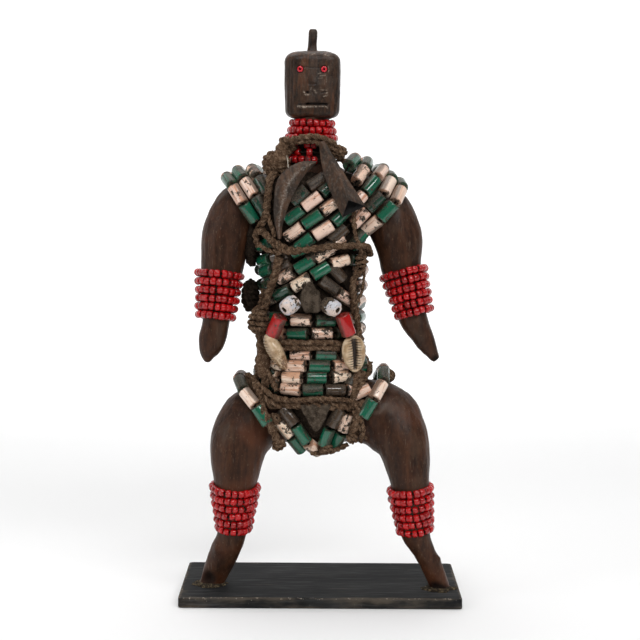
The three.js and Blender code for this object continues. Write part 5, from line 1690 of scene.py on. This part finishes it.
AMULET = [(301, 291), (309, 281), (318, 290), (322, 302), (320, 313), (304, 313), (299, 303)]
hide_pad("chest_amulet", [Vector(seen(u, v, -30.8)) for u, v in AMULET], (0.15, 1, 0), 2.4)
GROIN = [(299, 404), (331, 404), (326, 419), (316, 434), (307, 421)]
hide_pad("groin_hide", [Vector(seen(u, v, -32.2)) for u, v in GROIN], (0.1, 1, 0), 2.4)

# The board
BOARD = {"width": 164, "depth": 80, "thick": 6.2}


def board():
    rings, edge = [], []
    levels = [
        (0.9, 0, 0.3), (0.15, 0.25, 0.8), (0, 0.9, 0.7), (0, 3, 0.5), (0, 5.2, 0.75), (0.15, 5.95, 1),
        (0.8, 6.2, 1), (2.2, 6.2, 0.35), (6, 6.2, 0), (16, 6.2, 0),
    ]
    for inset, z, worn in levels:
        w, d = BOARD["width"] / 2 - inset, BOARD["depth"] / 2 - inset
        corners = [Vector((-w, -d, z)), Vector((w, -d, z)), Vector((w, d, z)), Vector((-w, d, z))]
        ring = []
        for k, corner in enumerate(corners):
            after = corners[(k + 1) % 4]
            before = corners[k - 1]
            start = corner + (before - corner).normalized() * 2.4
            end = corner + (after - corner).normalized() * 2.4
            ring += [start.lerp(corner, t).lerp(corner.lerp(end, t), t) for t in (0, 0.25, 0.5, 0.75)]
            stop = after + (corner - after).normalized() * 2.4
            ring += [end.lerp(stop, j / 30) for j in range(30)]
        rings.append(ring)
        edge += [worn] * len(ring)
    skin("painted_board", "board_paint", rings, BLACK, {"edge": edge + [0.0, 0.0]}, node="base_board")


board()


def glue_round(name, middle, half):
    """A low crust of old glue on the board, round a foot."""
    rings = []
    for share, rise in ((1.0, -0.1), (0.96, 0.25), (0.86, 0.7), (0.7, 0.9), (0.45, 1.0), (0.15, 1.0)):
        ring = []
        for k in range(72):
            way = Vector((math.cos(k / 72 * math.tau), math.sin(k / 72 * math.tau), 0))
            reach = 1 + 0.3 * noise.noise(way * 1.6 + Vector((*middle, 0))) + 0.1 * noise.noise(way * 6)
            far = Vector((way.x * half[0], way.y * half[1], 0)) * share * reach
            ring.append(Vector((*middle, BOARD["thick"] + rise)) + far)
        rings.append(ring)
    lumps = rough((2, 0.35), (0.8, 0.2))
    above = lambda p, normal: lumps(p, normal) * (p.z > BOARD["thick"])
    skin(name, "board_paint", rings, GLUE, {"run": no_run(rings)}, above)


glue_round("left_foot_glue", (-65.5, -10), (10.5, 10))
glue_round("right_foot_glue", (70, -17.5), (9.5, 9))

# Floor, light and the last line

# The paper that is both floor and wall: its front end, where it starts to bend, the bend's radius,
# how high and how wide to each side it goes, and how far under the board it lies
PAPER = {"front": -0.5, "bend": 0.9, "radius": 0.6, "top": 4.0, "half": 4, "under": 0.00005}


def stage():
    start, radius = PAPER["bend"], PAPER["radius"]
    turn = np.linspace(0, math.pi / 2, 16)
    bends = [(start + radius * math.sin(t), radius - radius * math.cos(t)) for t in turn]
    bends = [(PAPER["front"], 0.0), *bends, (start + radius, PAPER["top"])]
    sides = (-PAPER["half"], PAPER["half"])
    points = [Vector((x, y, z - PAPER["under"])) / MM for y, z in bends for x in sides]
    faces = [(2 * k, 2 * k + 1, 2 * k + 3, 2 * k + 2) for k in range(len(bends) - 1)]
    paper = Finish("pale_paper", Roughness=0.9, Specular_IOR_Level=0.1)
    behind = paper.axis(paper.where, 1).step(0.25, 1.1)
    glow = paper.between(behind, (0.04, 0.04, 0.04), (0.46, 0.46, 0.46))
    paper.set(Base_Color=(0.8, 0.8, 0.8, 1), Emission_Color=glow, Emission_Strength=1.0)
    piece("backdrop", None, points, faces, paper.material)
    for name, spot, size, height, power, aim in (
        ("key", (0.55, -1.3, 1.2), 1.7, 0.24, 19.5, (0, 0, 0.18)),
        ("fill", (-1.25, -0.55, 0.55), 0.6, 0.6, 4.0, (0, 0, 0.18)),
        ("top", (-0.1, 0.15, 1.3), 0.9, 0.9, 10, (0, 0.0, 0.1)),
    ):
        light = bpy.data.lights.new(name, "AREA")
        light.shape = "RECTANGLE"
        light.size = size
        light.size_y = height
        light.energy = power
        lamp = bpy.data.objects.new(name, light)
        bpy.context.collection.objects.link(lamp)
        lamp.location = spot
        lamp.rotation_euler = (Vector(aim) - Vector(spot)).to_track_quat("-Z", "Y").to_euler()
    world = bpy.data.worlds.new("studio")
    bpy.context.scene.world = world
    world.use_nodes = True
    world.node_tree.nodes["Background"].inputs[0].default_value = (1, 1, 1, 1)
    world.node_tree.nodes["Background"].inputs[1].default_value = 0.16
    bpy.context.scene.view_settings.view_transform = "Standard"


stage()
for shape in (tube_bead, seed_bead, eye_bead):
    bpy.data.objects.remove(shape)
bpy.context.view_layer.update()
